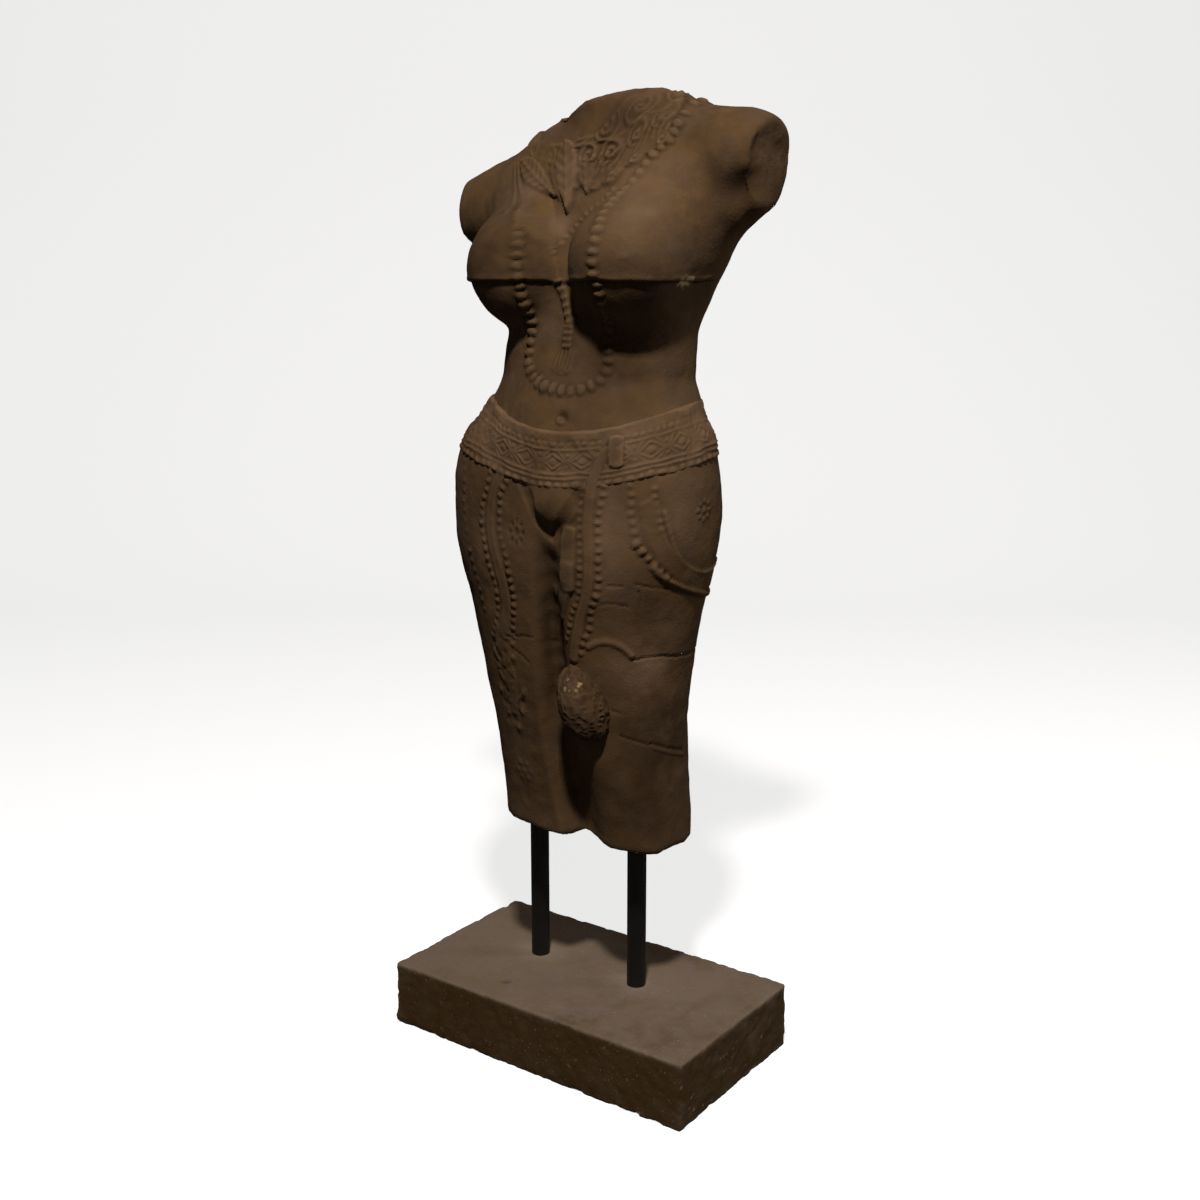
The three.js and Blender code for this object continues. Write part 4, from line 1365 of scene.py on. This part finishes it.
@dataclass
class Tassel:
    """The fat carved tassel that stands clear of the left thigh, crusted and chipped."""

    x: float = 49.0
    height: float = 192.0
    half_width: float = 28.0
    half_height: float = 47.0
    proud: float = 38.0
    set_back: float = 1.0
    lean: float = 0.20
    rows: int = 150
    columns: int = 190

    def build(self, skin: Skin, place: Place) -> bpy.types.Object:
        """A leaning ellipsoid with lumps, grains and two smooth leaf flaps over its crust.

        Args:
            skin: The form it hangs on.
            place: Where the figure stands.

        Returns:
            The piece.
        """
        front = skin.from_front([(self.x, self.height)])[0]
        centre = np.array([self.x, front[1] + self.set_back, self.height])
        lat = np.linspace(-math.pi / 2.0, math.pi / 2.0, self.rows)[1:-1]
        turn, up = np.meshgrid(np.linspace(0.0, 2.0 * math.pi, self.columns, endpoint=False), lat)
        round_off = np.stack([
            self.half_width * np.cos(up) * np.sin(turn),
            -self.proud * np.cos(up) * np.cos(turn),
            self.half_height * np.sin(up),
        ], axis=-1).reshape(-1, 3)
        flap = self.flap(turn, up).ravel()
        lumps = 2.6 * rough_noise(round_off, 19.0, 61, 2)
        grains = 1.9 * (1.0 - np.abs(lattice_noise(round_off, 6.5, 63))) ** 2
        grains = grains + 0.7 * lattice_noise(round_off, 3.4, 65)
        bump = 1.5 * flap + lumps * (1.0 - 0.2 * flap) + grains * (1.0 - 0.5 * flap)
        points = round_off + unit(round_off) * bump[:, None]
        poles = np.array([[0.0, 0.0, -self.half_height], [0.0, 0.0, self.half_height]])
        points = np.vstack([points, poles])
        points[:, 0] -= points[:, 2] * self.lean
        faces = closed_faces(len(lat), self.columns)
        # Painted shade: the tassel is darker between its grains and on its lower side toward the figure's
        # right, which faces away from the key lamp; it is also darker overall.
        recess = np.clip(0.55 - grains / 2.4 - 0.1 * flap, -0.5, 0.8)
        low_left_shade = smooth_step(20.0, -30.0, round_off[:, 2] + 0.9 * round_off[:, 0])
        high = smooth_step(10.0, 30.0, round_off[:, 2]) * smooth_step(-4.0, 8.0, round_off[:, 0] + 8.0)
        chip = 0.55 * smooth_step(0.42, 0.62, rough_noise(round_off, 7.0, 64, 2)) * high
        masks = {"recess": recess, "chip": chip, "warm": 0.1 * flap - 0.35 - 0.5 * low_left_shade}
        return make_piece("tassel", place.put(points + centre), faces, with_middles(masks))

    def flap(self, turn: Points, up: Points) -> Points:
        """Two leaf-shaped flaps that wrap down from the top, as a mask from 0 to 1."""
        first = 1.0 - np.hypot((turn - 0.75 + 0.5 * up) / 0.42, (up - 0.35) / 0.85)
        second = 1.0 - np.hypot((turn - 5.75 + 0.4 * up) / 0.36, (up - 0.5) / 0.7)
        return np.maximum(smooth_step(0.0, 0.22, first), smooth_step(0.0, 0.22, second))


def belt_piece(skin: Skin, carvings: list[Carving], place: Place) -> bpy.types.Object:
    """Close the belt's two sheets into one ring.

    Args:
        skin: The form it hugs.
        carvings: What crosses it.
        place: Where the figure stands.

    Returns:
        The piece.
    """
    belt = Belt(skin)
    outer, inner = belt.sheets(carvings)
    rows, columns = outer.shape[:2]
    inner = inner[:: rows - 1]
    section = np.concatenate([outer, inner[::-1]], axis=0)
    points = section.reshape(-1, 3)
    faces = grid_faces(len(section) + 1, columns, closed=True) % len(points)
    # Painted shade in the belt's hollows: the clay is darker where it lies under the carving near it, and
    # paler on the raised carving.
    out = unit((outer - np.array([0.0, 15.0, 0.0])) * np.array([1.0, 1.0, 0.0]))
    depth = np.zeros(len(points))
    depth[: rows * columns] = np.sum((blur(outer, 4) - outer) * out, axis=-1).ravel()
    recess = np.clip(depth / 1.1, -1.0, 1.0)
    warm = 0.25 + 0.25 * rough_noise(points, 40.0, 53, 2)
    masks = {"recess": recess, "chip": np.zeros(len(points)), "warm": warm}
    return make_piece("belt", place.put(points), faces, masks)


def new_material(name: str) -> tuple[bpy.types.Material, bpy.types.Node]:
    """A new material and its shader."""
    made = bpy.data.materials.new(name)
    made.use_nodes = True
    return made, made.node_tree.nodes["Principled BSDF"]


class ClayNodes:
    """Builds the shader node group for fired clay."""

    NAME = "FiredClay"
    TINTS = ("Clay", "Dark", "Pale", "Rubbed", "Fresh", "Golden", "Ashen")
    MASKS = ("Recess", "Chip", "Warm")
    STRENGTHS = ("Grain", "Mottle", "Scale", "Specks")

    @classmethod
    def group(cls) -> bpy.types.NodeTree:
        """The group: colour, roughness and height from the clay's own position.

        Returns:
            The group, made once.
        """
        if cls.NAME in bpy.data.node_groups:
            return bpy.data.node_groups[cls.NAME]
        tree = bpy.data.node_groups.new(cls.NAME, "ShaderNodeTree")
        face = tree.interface
        for name in cls.TINTS:
            face.new_socket(name, in_out="INPUT", socket_type="NodeSocketColor")
        for name in (*cls.MASKS, *cls.STRENGTHS):
            face.new_socket(name, in_out="INPUT", socket_type="NodeSocketFloat")
        face.new_socket("Place", in_out="INPUT", socket_type="NodeSocketVector")
        face.new_socket("Color", in_out="OUTPUT", socket_type="NodeSocketColor")
        face.new_socket("Roughness", in_out="OUTPUT", socket_type="NodeSocketFloat")
        face.new_socket("Height", in_out="OUTPUT", socket_type="NodeSocketFloat")
        n, link = tree.nodes, tree.links
        inside, outside = n.new("NodeGroupInput"), n.new("NodeGroupOutput")
        place = n.new("ShaderNodeVectorMath")
        place.operation = "SCALE"
        link.new(inside.outputs["Place"], place.inputs[0])
        link.new(inside.outputs["Scale"], place.inputs["Scale"])

        def noise(scale: float, detail: float, rough: float = 0.6) -> Socket:
            """A noise texture's value."""
            node = n.new("ShaderNodeTexNoise")
            node.inputs["Scale"].default_value = scale
            node.inputs["Detail"].default_value = detail
            node.inputs["Roughness"].default_value = rough
            link.new(place.outputs[0], node.inputs["Vector"])
            return node.outputs["Fac"]

        def remap(value: Socket, low: float, high: float, to_low: float, to_high: float) -> Socket:
            """A value stretched from one range to another, and held there."""
            node = n.new("ShaderNodeMapRange")
            node.inputs["From Min"].default_value = low
            node.inputs["From Max"].default_value = high
            node.inputs["To Min"].default_value = to_low
            node.inputs["To Max"].default_value = to_high
            link.new(value, node.inputs["Value"])
            return node.outputs["Result"]

        def math_node(kind: str, a: Socket | float, b: Socket | float) -> Socket:
            """Two values put together."""
            node = n.new("ShaderNodeMath")
            node.operation = kind
            for socket, value in zip(node.inputs, (a, b)):
                if isinstance(value, (int, float)):
                    socket.default_value = value
                else:
                    link.new(value, socket)
            return node.outputs[0]

        def mix(fac: Socket, a: Socket, b: Socket) -> Socket:
            """Two colours mixed."""
            node = n.new("ShaderNodeMix")
            node.data_type = "RGBA"
            link.new(fac, node.inputs["Factor"])
            link.new(a, node.inputs["A"])
            link.new(b, node.inputs["B"])
            return node.outputs["Result"]

        broad = noise(5.0, 4.0, 0.62)
        mottled = noise(38.0, 5.0, 0.66)
        fine = noise(260.0, 4.0, 0.7)
        mottle = inside.outputs["Mottle"]
        colour = inside.outputs["Clay"]
        for cloud, low, high, most, tint in (
            (broad, 0.42, 0.68, 1.0, "Dark"),
            (noise(17.0, 3.0), 0.45, 0.62, 0.85, "Golden"),
            (noise(23.0, 3.0), 0.46, 0.62, 0.85, "Ashen"),
            (mottled, 0.52, 0.74, 0.55, "Pale"),
        ):
            part = math_node("MULTIPLY", remap(cloud, low, high, 0.0, most), mottle)
            colour = mix(part, colour, inside.outputs[tint])
        # Painted shade and light: clay under the carving near it, the tassel between its grains and the
        # plinth's sides are darkened toward the dark colour; the raised carving and the plinth's top are
        # made paler, the top as painted light. The last two mixes lighten by painted light and rubbing,
        # and darken by painted shade and stains.
        for mask, low, high, to_low, to_high, tint in (
            ("Recess", 0.04, 0.75, 0.0, 0.85, "Dark"),
            ("Recess", -0.75, -0.05, 0.5, 0.0, "Pale"),
            ("Warm", 0.0, 1.0, 0.0, 1.0, "Rubbed"),
            ("Warm", -1.0, 0.0, 1.0, 0.0, "Dark"),
        ):
            part = remap(inside.outputs[mask], low, high, to_low, to_high)
            colour = mix(part, colour, inside.outputs[tint])
        speck = remap(noise(330.0, 2.0, 0.5), 0.69, 0.76, 0.0, 1.0)
        speck = math_node("MULTIPLY", speck, inside.outputs["Specks"])
        colour = mix(speck, colour, inside.outputs["Fresh"])
        colour = mix(inside.outputs["Chip"], colour, inside.outputs["Fresh"])
        link.new(colour, outside.inputs["Color"])
        link.new(remap(mottled, 0.3, 0.7, 0.82, 0.97), outside.inputs["Roughness"])
        pits = n.new("ShaderNodeTexVoronoi")
        pits.inputs["Scale"].default_value = 210.0
        link.new(place.outputs[0], pits.inputs["Vector"])
        pit = remap(pits.outputs["Distance"], 0.05, 0.3, -0.5, 0.0)
        rare = remap(mottled, 0.5, 0.62, 0.0, 1.0)
        height = math_node("ADD", math_node("MULTIPLY", pit, rare), math_node("MULTIPLY", fine, 0.7))
        height = math_node("ADD", height, math_node("MULTIPLY", mottled, 1.6))
        link.new(math_node("MULTIPLY", height, inside.outputs["Grain"]), outside.inputs["Height"])
        return tree


@dataclass(frozen=True)
class Clay:
    """A finish of fired clay."""

    name: str
    clay: Trio
    dark: Trio
    pale: Trio
    rubbed: Trio
    golden: Trio
    ashen: Trio
    fresh: Trio = (0.52, 0.38, 0.20)
    specks: float = 0.12
    grain: float = 0.8
    mottle: float = 0.7
    scale: float = 1.0

    def material(self) -> bpy.types.Material:
        """Make the material, with its colours in the clay group."""
        made, shader = new_material(self.name)
        n, link = made.node_tree.nodes, made.node_tree.links
        shader.inputs["Specular IOR Level"].default_value = 0.25
        group = n.new("ShaderNodeGroup")
        group.node_tree = ClayNodes.group()
        for key in ClayNodes.TINTS:
            group.inputs[key].default_value = (*getattr(self, key.lower()), 1.0)
        for key in ClayNodes.STRENGTHS:
            group.inputs[key].default_value = getattr(self, key.lower())
        where = n.new("ShaderNodeTexCoord")
        link.new(where.outputs["Object"], group.inputs["Place"])
        for key in ClayNodes.MASKS:
            layer = n.new("ShaderNodeAttribute")
            layer.attribute_name = key.lower()
            link.new(layer.outputs["Fac"], group.inputs[key])
        bump = n.new("ShaderNodeBump")
        bump.inputs["Strength"].default_value = 0.55
        bump.inputs["Distance"].default_value = 0.0016
        link.new(group.outputs["Height"], bump.inputs["Height"])
        link.new(group.outputs["Color"], shader.inputs["Base Color"])
        link.new(group.outputs["Roughness"], shader.inputs["Roughness"])
        link.new(bump.outputs["Normal"], shader.inputs["Normal"])
        return made


# The dark colour is also the colour of painted shade, and the rubbed colour that of painted light.
TORSO_CLAY = Clay(
    "terracotta_clay",
    clay=(0.115, 0.063, 0.027),
    dark=(0.040, 0.019, 0.006),
    pale=(0.180, 0.107, 0.053),
    rubbed=(0.235, 0.138, 0.078),
    golden=(0.136, 0.072, 0.024),
    ashen=(0.103, 0.062, 0.035),
    specks=0.03,
)
# The dark colour is also the colour of the painted shade on the sides and in the pit, and the pale colour
# that of the painted light on the top.
PLINTH_CLAY = Clay(
    "plinth_clay_rough",
    clay=(0.235, 0.168, 0.118),
    dark=(0.080, 0.040, 0.009),
    pale=(0.280, 0.205, 0.150),
    rubbed=(0.340, 0.262, 0.200),
    golden=(0.225, 0.160, 0.098),
    ashen=(0.220, 0.165, 0.130),
    fresh=(0.62, 0.52, 0.38),
    specks=0.5,
    grain=1.0,
)


@dataclass(frozen=True)
class RodPaint:
    """Black satin paint on steel, a little scuffed."""

    name: str = "black_rod_paint"
    dark: Trio = (0.0030, 0.0031, 0.0028)
    scuffed: Trio = (0.0066, 0.0057, 0.0049)
    smoothest: float = 0.38
    roughest: float = 0.62

    def material(self) -> bpy.types.Material:
        """Make the paint, with faint scuffs in its colour and roughness."""
        made, shader = new_material(self.name)
        n, link = made.node_tree.nodes, made.node_tree.links
        shader.inputs["Metallic"].default_value = 0.0
        where = n.new("ShaderNodeTexCoord")
        noise = n.new("ShaderNodeTexNoise")
        noise.inputs["Scale"].default_value = 60.0
        noise.inputs["Detail"].default_value = 5.0
        link.new(where.outputs["Object"], noise.inputs["Vector"])
        ramp = n.new("ShaderNodeMix")
        ramp.data_type = "RGBA"
        ramp.inputs["A"].default_value = (*self.dark, 1.0)
        ramp.inputs["B"].default_value = (*self.scuffed, 1.0)
        link.new(noise.outputs["Fac"], ramp.inputs["Factor"])
        link.new(ramp.outputs["Result"], shader.inputs["Base Color"])
        rough = n.new("ShaderNodeMapRange")
        rough.inputs["To Min"].default_value = self.smoothest
        rough.inputs["To Max"].default_value = self.roughest
        link.new(noise.outputs["Fac"], rough.inputs["Value"])
        link.new(rough.outputs["Result"], shader.inputs["Roughness"])
        return made


@dataclass
class Rod:
    """A round mounting rod, turned from the CAD rod's own box."""

    node: str
    sides: int = 48
    bevel: float = 2.0

    def build(self) -> bpy.types.Object:
        """Turn the profile round the rod's middle, with a slightly uneven surface."""
        low, high = box_mm(self.node)
        radius = (high[0] - low[0]) / 2.0
        centre = (low + high) / 2.0
        foot, head = low[2], high[2]
        straight = np.linspace(foot + 6.0, head - 6.0, 70)
        levels = np.concatenate([[foot, foot + self.bevel], straight, [head - self.bevel, head]])
        radii = np.full(len(levels), radius)
        radii[[0, -1]] -= self.bevel
        angles = np.linspace(0.0, 2.0 * math.pi, self.sides, endpoint=False)
        turn, level = np.meshgrid(angles, levels)
        ring = np.repeat(radii[:, None], self.sides, axis=1)
        x, y = centre[0] + ring * np.cos(turn), centre[1] + ring * np.sin(turn)
        points = np.stack([x, y, level], axis=-1).reshape(-1, 3)
        out = unit((points - centre) * np.array([1.0, 1.0, 0.0]))
        points = points - out * 0.12 * np.abs(rough_noise(points, 11.0, 71, 2))[:, None]
        ends = np.array([[centre[0], centre[1], foot], [centre[0], centre[1], head]])
        faces = closed_faces(len(levels), self.sides)
        return make_piece(f"{self.node}_round", np.vstack([points, ends]) * MM, faces)


@dataclass
class Plinth:
    """The rough clay block, with worn edges, chips and a shallow ring of grout at each rod."""

    divisions: tuple[int, int, int] = (190, 110, 40)
    corner: float = 1.8
    pit: Spot = (-75.0, -82.0)
    pit_depth: float = 5.4
    grout_reach: float = 34.0
    grout_strength: float = 0.7
    ring_radius: float = 17.0
    ring_proud: float = 1.8
    crumb_proud: float = 3.6
    crumb_reach: float = 8.0
    rod_nodes: tuple[str, ...] = ("left_mounting_rod", "right_mounting_rod")

    def build(self) -> bpy.types.Object:
        """A box of six grids whose points are rounded off and eaten away by noise at the edges.

        Each point of the box is pulled to a rounded box: its distance past the inner box is
        shortened to the corner radius.

        Returns:
            The piece.
        """
        low, high = box_mm("plinth")
        centre, half = (low + high) / 2.0, (high - low) / 2.0
        points, faces = self.shell(half)
        wear = self.corner * (1.0 + 0.55 * rough_noise(points, 34.0, 81, 3))[:, None]
        inner = np.clip(points, -half + wear, half - wear)
        off = points - inner
        size = np.linalg.norm(off, axis=1, keepdims=True)
        points = inner + off * np.minimum(1.0, wear / (size + 1e-9))
        points, recess, chip, warm = self.weather(points, half, centre)
        points[:, 2] = np.clip(points[:, 2], -half[2], half[2])
        masks = {"recess": recess, "chip": chip, "warm": warm}
        return make_piece("plinth_block", (points + centre) * MM, faces, masks)

    def shell(self, half: Points) -> tuple[Points, Points]:
        """A closed box of grids: the surface points of a lattice, shared at the edges."""
        counts = self.divisions
        grids, quads, start = [], [], 0
        for axis in range(3):
            a, b = [k for k in range(3) if k != axis]
            u, v = np.meshgrid(np.linspace(-1, 1, counts[a] + 1), np.linspace(-1, 1, counts[b] + 1))
            for sign in (-1.0, 1.0):
                grid = np.zeros((*u.shape, 3))
                grid[..., a], grid[..., b], grid[..., axis] = u * half[a], v * half[b], sign * half[axis]
                face = grid_faces(*u.shape, closed=False) + start
                clockwise = (axis == 1) == (sign > 0)
                quads.append(face[:, ::-1] if clockwise else face)
                grids.append(grid.reshape(-1, 3))
                start += u.size
        everything = np.vstack(grids)
        _, first, same = np.unique(np.round(everything, 4), axis=0, return_index=True, return_inverse=True)
        return everything[first], same.ravel()[np.vstack(quads)]

    def weather(
        self, p: Points, half: Points, centre: Points
    ) -> tuple[Points, Points, Points, Points]:
        """Roughen the faces and chip the edges.

        Args:
            p: Points about the block's middle.
            half: Half sizes of the block.
            centre: The block's middle in the frame.

        Returns:
            The points, and for each the painted shade or light of its faces, its pale chips, and its
            grout, stains and painted shade.
        """
        rim = np.sort(half - np.abs(p), axis=1)
        edge = 1.0 - smooth_step(0.0, 9.0, rim[:, 1])
        side = 1.0 - smooth_step(-6.0, -1.0, p[:, 2] - half[2])
        out = unit(np.sign(p) * np.clip(np.abs(p) - half + 8.0, 0.0, None))
        crumble = np.clip(rough_noise(p, 15.0, 82, 4) + 0.15, 0.0, None)
        depth = 2.0 * edge * crumble + side * 0.7 * rough_noise(p, 12.0, 83, 3) - 0.7
        top = 1.0 - side
        depth = depth + top * 0.35 * np.abs(rough_noise(p, 20.0, 84, 3))
        pit = np.hypot(p[:, 0] - self.pit[0], p[:, 1] - self.pit[1])
        depth = depth + top * self.pit_depth * bell(pit, 4.6)
        grout = np.zeros(len(p))
        for node in self.rod_nodes:
            middle = sum(box_mm(node)) / 2.0 - centre
            spread = np.hypot(p[:, 0] - middle[0] + 6.0, (p[:, 1] - middle[1]) * 1.2)
            grout = np.maximum(grout, self.grout_strength * bell(spread, self.grout_reach))
            ring = np.hypot(p[:, 0] - middle[0], p[:, 1] - middle[1])
            depth = depth - top * self.ring_proud * bell(ring - self.ring_radius, 3.4)
        crumb = np.linalg.norm(p - np.array([-half[0], -half[1], -half[2] + 10.0]), axis=1)
        depth = depth - self.crumb_proud * bell(crumb, self.crumb_reach)
        moved = p - out * depth[:, None]
        specks = smooth_step(0.78, 0.9, rough_noise(p, 3.6, 85, 2)) * (side * 0.55 + edge * 0.3)
        chip = np.clip(specks * smooth_step(-0.1, 0.5, rough_noise(p, 60.0, 86, 2)), 0.0, 1.0)
        # Painted shade and light: the side faces are darkened, less at the edges, and the top is painted
        # paler, most at its edges.
        recess = np.clip(side * 0.72 - edge * 0.3 + 0.24 * rough_noise(p, 22.0, 87, 3), -1.0, 1.0)
        recess = np.where(top > 0.5, -0.16 - 0.2 * edge, recess)
        warm = top * np.clip(grout * (0.8 + 0.5 * rough_noise(p, 18.0, 88, 3)), 0.0, 1.0)
        # Painted shade: the front face is darkened all over and the pit is darkened inside; random
        # blotches stain every side.
        front = smooth_step(8.0, 0.0, p[:, 1] + half[1])
        shade_and_stain = 0.55 * front + 0.7 * np.clip(rough_noise(p, 26.0, 89, 3) - 0.05, 0.0, 1.0)
        warm = warm - side * np.clip(shade_and_stain, 0.0, 0.9) - top * 0.9 * bell(pit, 4.4)
        return moved, recess, chip, warm


@dataclass
class Studio:
    """A pale floor with a curved backdrop, two lamps, and the photograph's camera."""

    BACKDROP_FLAT = 2.6
    BACKDROP_RADIUS = 1.6
    BACKDROP_TOP = 4.0
    BACKDROP_WIDTH = 16.0
    FLOOR_FRONT = -9.0
    PAPER_SEEN = (0.86, 0.86, 0.86)
    PAPER_BOUNCE = (0.10, 0.095, 0.09)
    PAPER_GLOW = 0.72
    LAMP_COLOUR = (1.0, 0.965, 0.92)
    LAMPS_AIM = (0.0, 0.0, 0.65)
    ROOM_COLOUR = (1.0, 0.985, 0.96)
    ROOM_STRENGTH = 0.055

    camera_place: Trio = (1.0752, -1.4585, 0.9919)
    turned: float = 35.902
    pitched: float = 12.229
    lens: float = 43.877

    def camera(self) -> None:
        """Set up the camera: level with the eye height, looking down by the pitch."""
        data = bpy.data.cameras.new("camera")
        data.sensor_fit = "HORIZONTAL"
        data.sensor_width = 36.0
        data.lens = self.lens
        view = add_object("camera", data)
        view.location = self.camera_place
        view.rotation_euler = (math.radians(90.0 - self.pitched), 0.0, math.radians(self.turned))
        bpy.context.scene.camera = view

    def floor(self) -> None:
        """A sheet that runs level behind the object and then curves up: a profile carried sideways."""
        flat, radius, wide = self.BACKDROP_FLAT, self.BACKDROP_RADIUS, self.BACKDROP_WIDTH
        bend = np.linspace(0.0, math.pi / 2.0, 24)
        back = np.concatenate([[self.FLOOR_FRONT], flat + radius * np.sin(bend), [flat + radius]])
        up = np.concatenate([[0.0], radius * (1.0 - np.cos(bend)), [self.BACKDROP_TOP]])
        turn = math.radians(self.turned)
        forward = np.array([-math.sin(turn), math.cos(turn), 0.0])
        across = np.array([math.cos(turn), math.sin(turn), 0.0])
        path = back[:, None] * forward + up[:, None] * np.array([0.0, 0.0, 1.0])
        sheet = np.stack([path - across * wide / 2.0, path + across * wide / 2.0], axis=1)
        points = sheet.reshape(-1, 3)
        mesh = bpy.data.meshes.new("floor")
        mesh.from_pydata(points.tolist(), [], grid_faces(len(path), 2, closed=False).tolist())
        mesh.polygons.foreach_set("use_smooth", np.ones(len(mesh.polygons), bool))
        mesh.materials.append(self.paper())
        piece = add_object("floor", mesh)

    def paper(self) -> bpy.types.Material:
        """Pale paper that the camera sees brighter than the object does."""
        made, shader = new_material("floor_paper")
        n, link = made.node_tree.nodes, made.node_tree.links
        shader.inputs["Roughness"].default_value = 0.9
        seen, tint = n.new("ShaderNodeLightPath"), n.new("ShaderNodeMix")
        tint.data_type = "RGBA"
        tint.inputs["A"].default_value = (*self.PAPER_BOUNCE, 1.0)
        tint.inputs["B"].default_value = (*self.PAPER_SEEN, 1.0)
        link.new(seen.outputs["Is Camera Ray"], tint.inputs["Factor"])
        link.new(tint.outputs["Result"], shader.inputs["Base Color"])
        glow = n.new("ShaderNodeMath")
        glow.operation = "MULTIPLY"
        glow.inputs[1].default_value = self.PAPER_GLOW
        link.new(seen.outputs["Is Camera Ray"], glow.inputs[0])
        shader.inputs["Emission Color"].default_value = (1.0, 1.0, 1.0, 1.0)
        link.new(glow.outputs[0], shader.inputs["Emission Strength"])
        return made

    def light(self, name: str, place: Trio, size: float, watts: float) -> None:
        """A square lamp that faces the figure's middle.

        Args:
            name: The lamp's name.
            place: Where it hangs.
            size: Length of its side.
            watts: Its power.
        """
        data = bpy.data.lights.new(name, "AREA")
        data.size = size
        data.energy = watts
        data.color = self.LAMP_COLOUR
        lamp = add_object(name, data)
        lamp.location = place
        aim = np.array(self.LAMPS_AIM) - np.array(place)
        down = math.acos(-aim[2] / np.linalg.norm(aim))
        lamp.rotation_euler = (down, 0.0, math.atan2(aim[1], aim[0]) - math.pi / 2.0)

    def build(self) -> None:
        """Set up the camera, the floor, the lamps and the room."""
        self.camera()
        self.floor()
        self.light("key", (0.84, -1.30, 2.72), 0.18, 51.5)
        self.light("side", (2.00, 1.45, 1.95), 0.70, 11.5)
        self.room()

    def room(self) -> None:
        """The even light of the room, which the camera sees as white."""
        world = bpy.data.worlds.new("room")
        world.use_nodes = True
        n, link = world.node_tree.nodes, world.node_tree.links
        seen, even = n.new("ShaderNodeLightPath"), n.new("ShaderNodeMix")
        even.inputs["A"].default_value = self.ROOM_STRENGTH
        even.inputs["B"].default_value = 1.0
        link.new(seen.outputs["Is Camera Ray"], even.inputs["Factor"])
        n["Background"].inputs["Color"].default_value = (*self.ROOM_COLOUR, 1.0)
        link.new(even.outputs["Result"], n["Background"].inputs["Strength"])
        bpy.context.scene.world = world
        bpy.context.scene.view_settings.view_transform = "Standard"


def dress(piece: bpy.types.Object, material: bpy.types.Material, node: str) -> None:
    """Give a piece its material and tie it to the part.

    Args:
        piece: The piece.
        material: Its finish.
        node: The CAD node that it stands for.
    """
    piece.data.materials.append(material)
    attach(piece, "root")
    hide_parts(node)


def main() -> None:
    """Build the torso, its rods, its plinth and the studio."""
    logging.basicConfig(level=logging.INFO, format="%(name)s %(message)s")
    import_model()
    Studio().build()
    skin = Skin()
    place = Place.from_frame()
    ornament = Ornament(skin)
    chest = [*ornament.long_necklace(), *ornament.chest(), *ornament.waist()]
    sashes = [*ornament.far_sash(), *ornament.near_sash()]
    legs = [*sashes, *ornament.hip_swag(), *ornament.thighs()]
    breaks = ornament.breaks()
    clay = TORSO_CLAY.material()
    upper = TorsoPiece("torso_upper", WAIST_LOW, FAN_HIGH + FAN_TOP - 1.5, 250)
    lower = TorsoPiece("torso_lower", FAN_LOW - FAN_BOTTOM + 1.0, WAIST_HIGH, 262)
    dress(upper.build(skin, chest, breaks, place), clay, "torso")
    dress(lower.build(skin, legs, breaks, place), clay, "torso")
    dress(belt_piece(skin, sashes, place), clay, "torso")
    dress(Tassel().build(skin, place), clay, "torso")
    paint = RodPaint().material()
    for node in Plinth.rod_nodes:
        dress(Rod(node).build(), paint, node)
    dress(Plinth().build(), PLINTH_CLAY.material(), "plinth")


if __name__ == "__main__":
    main()
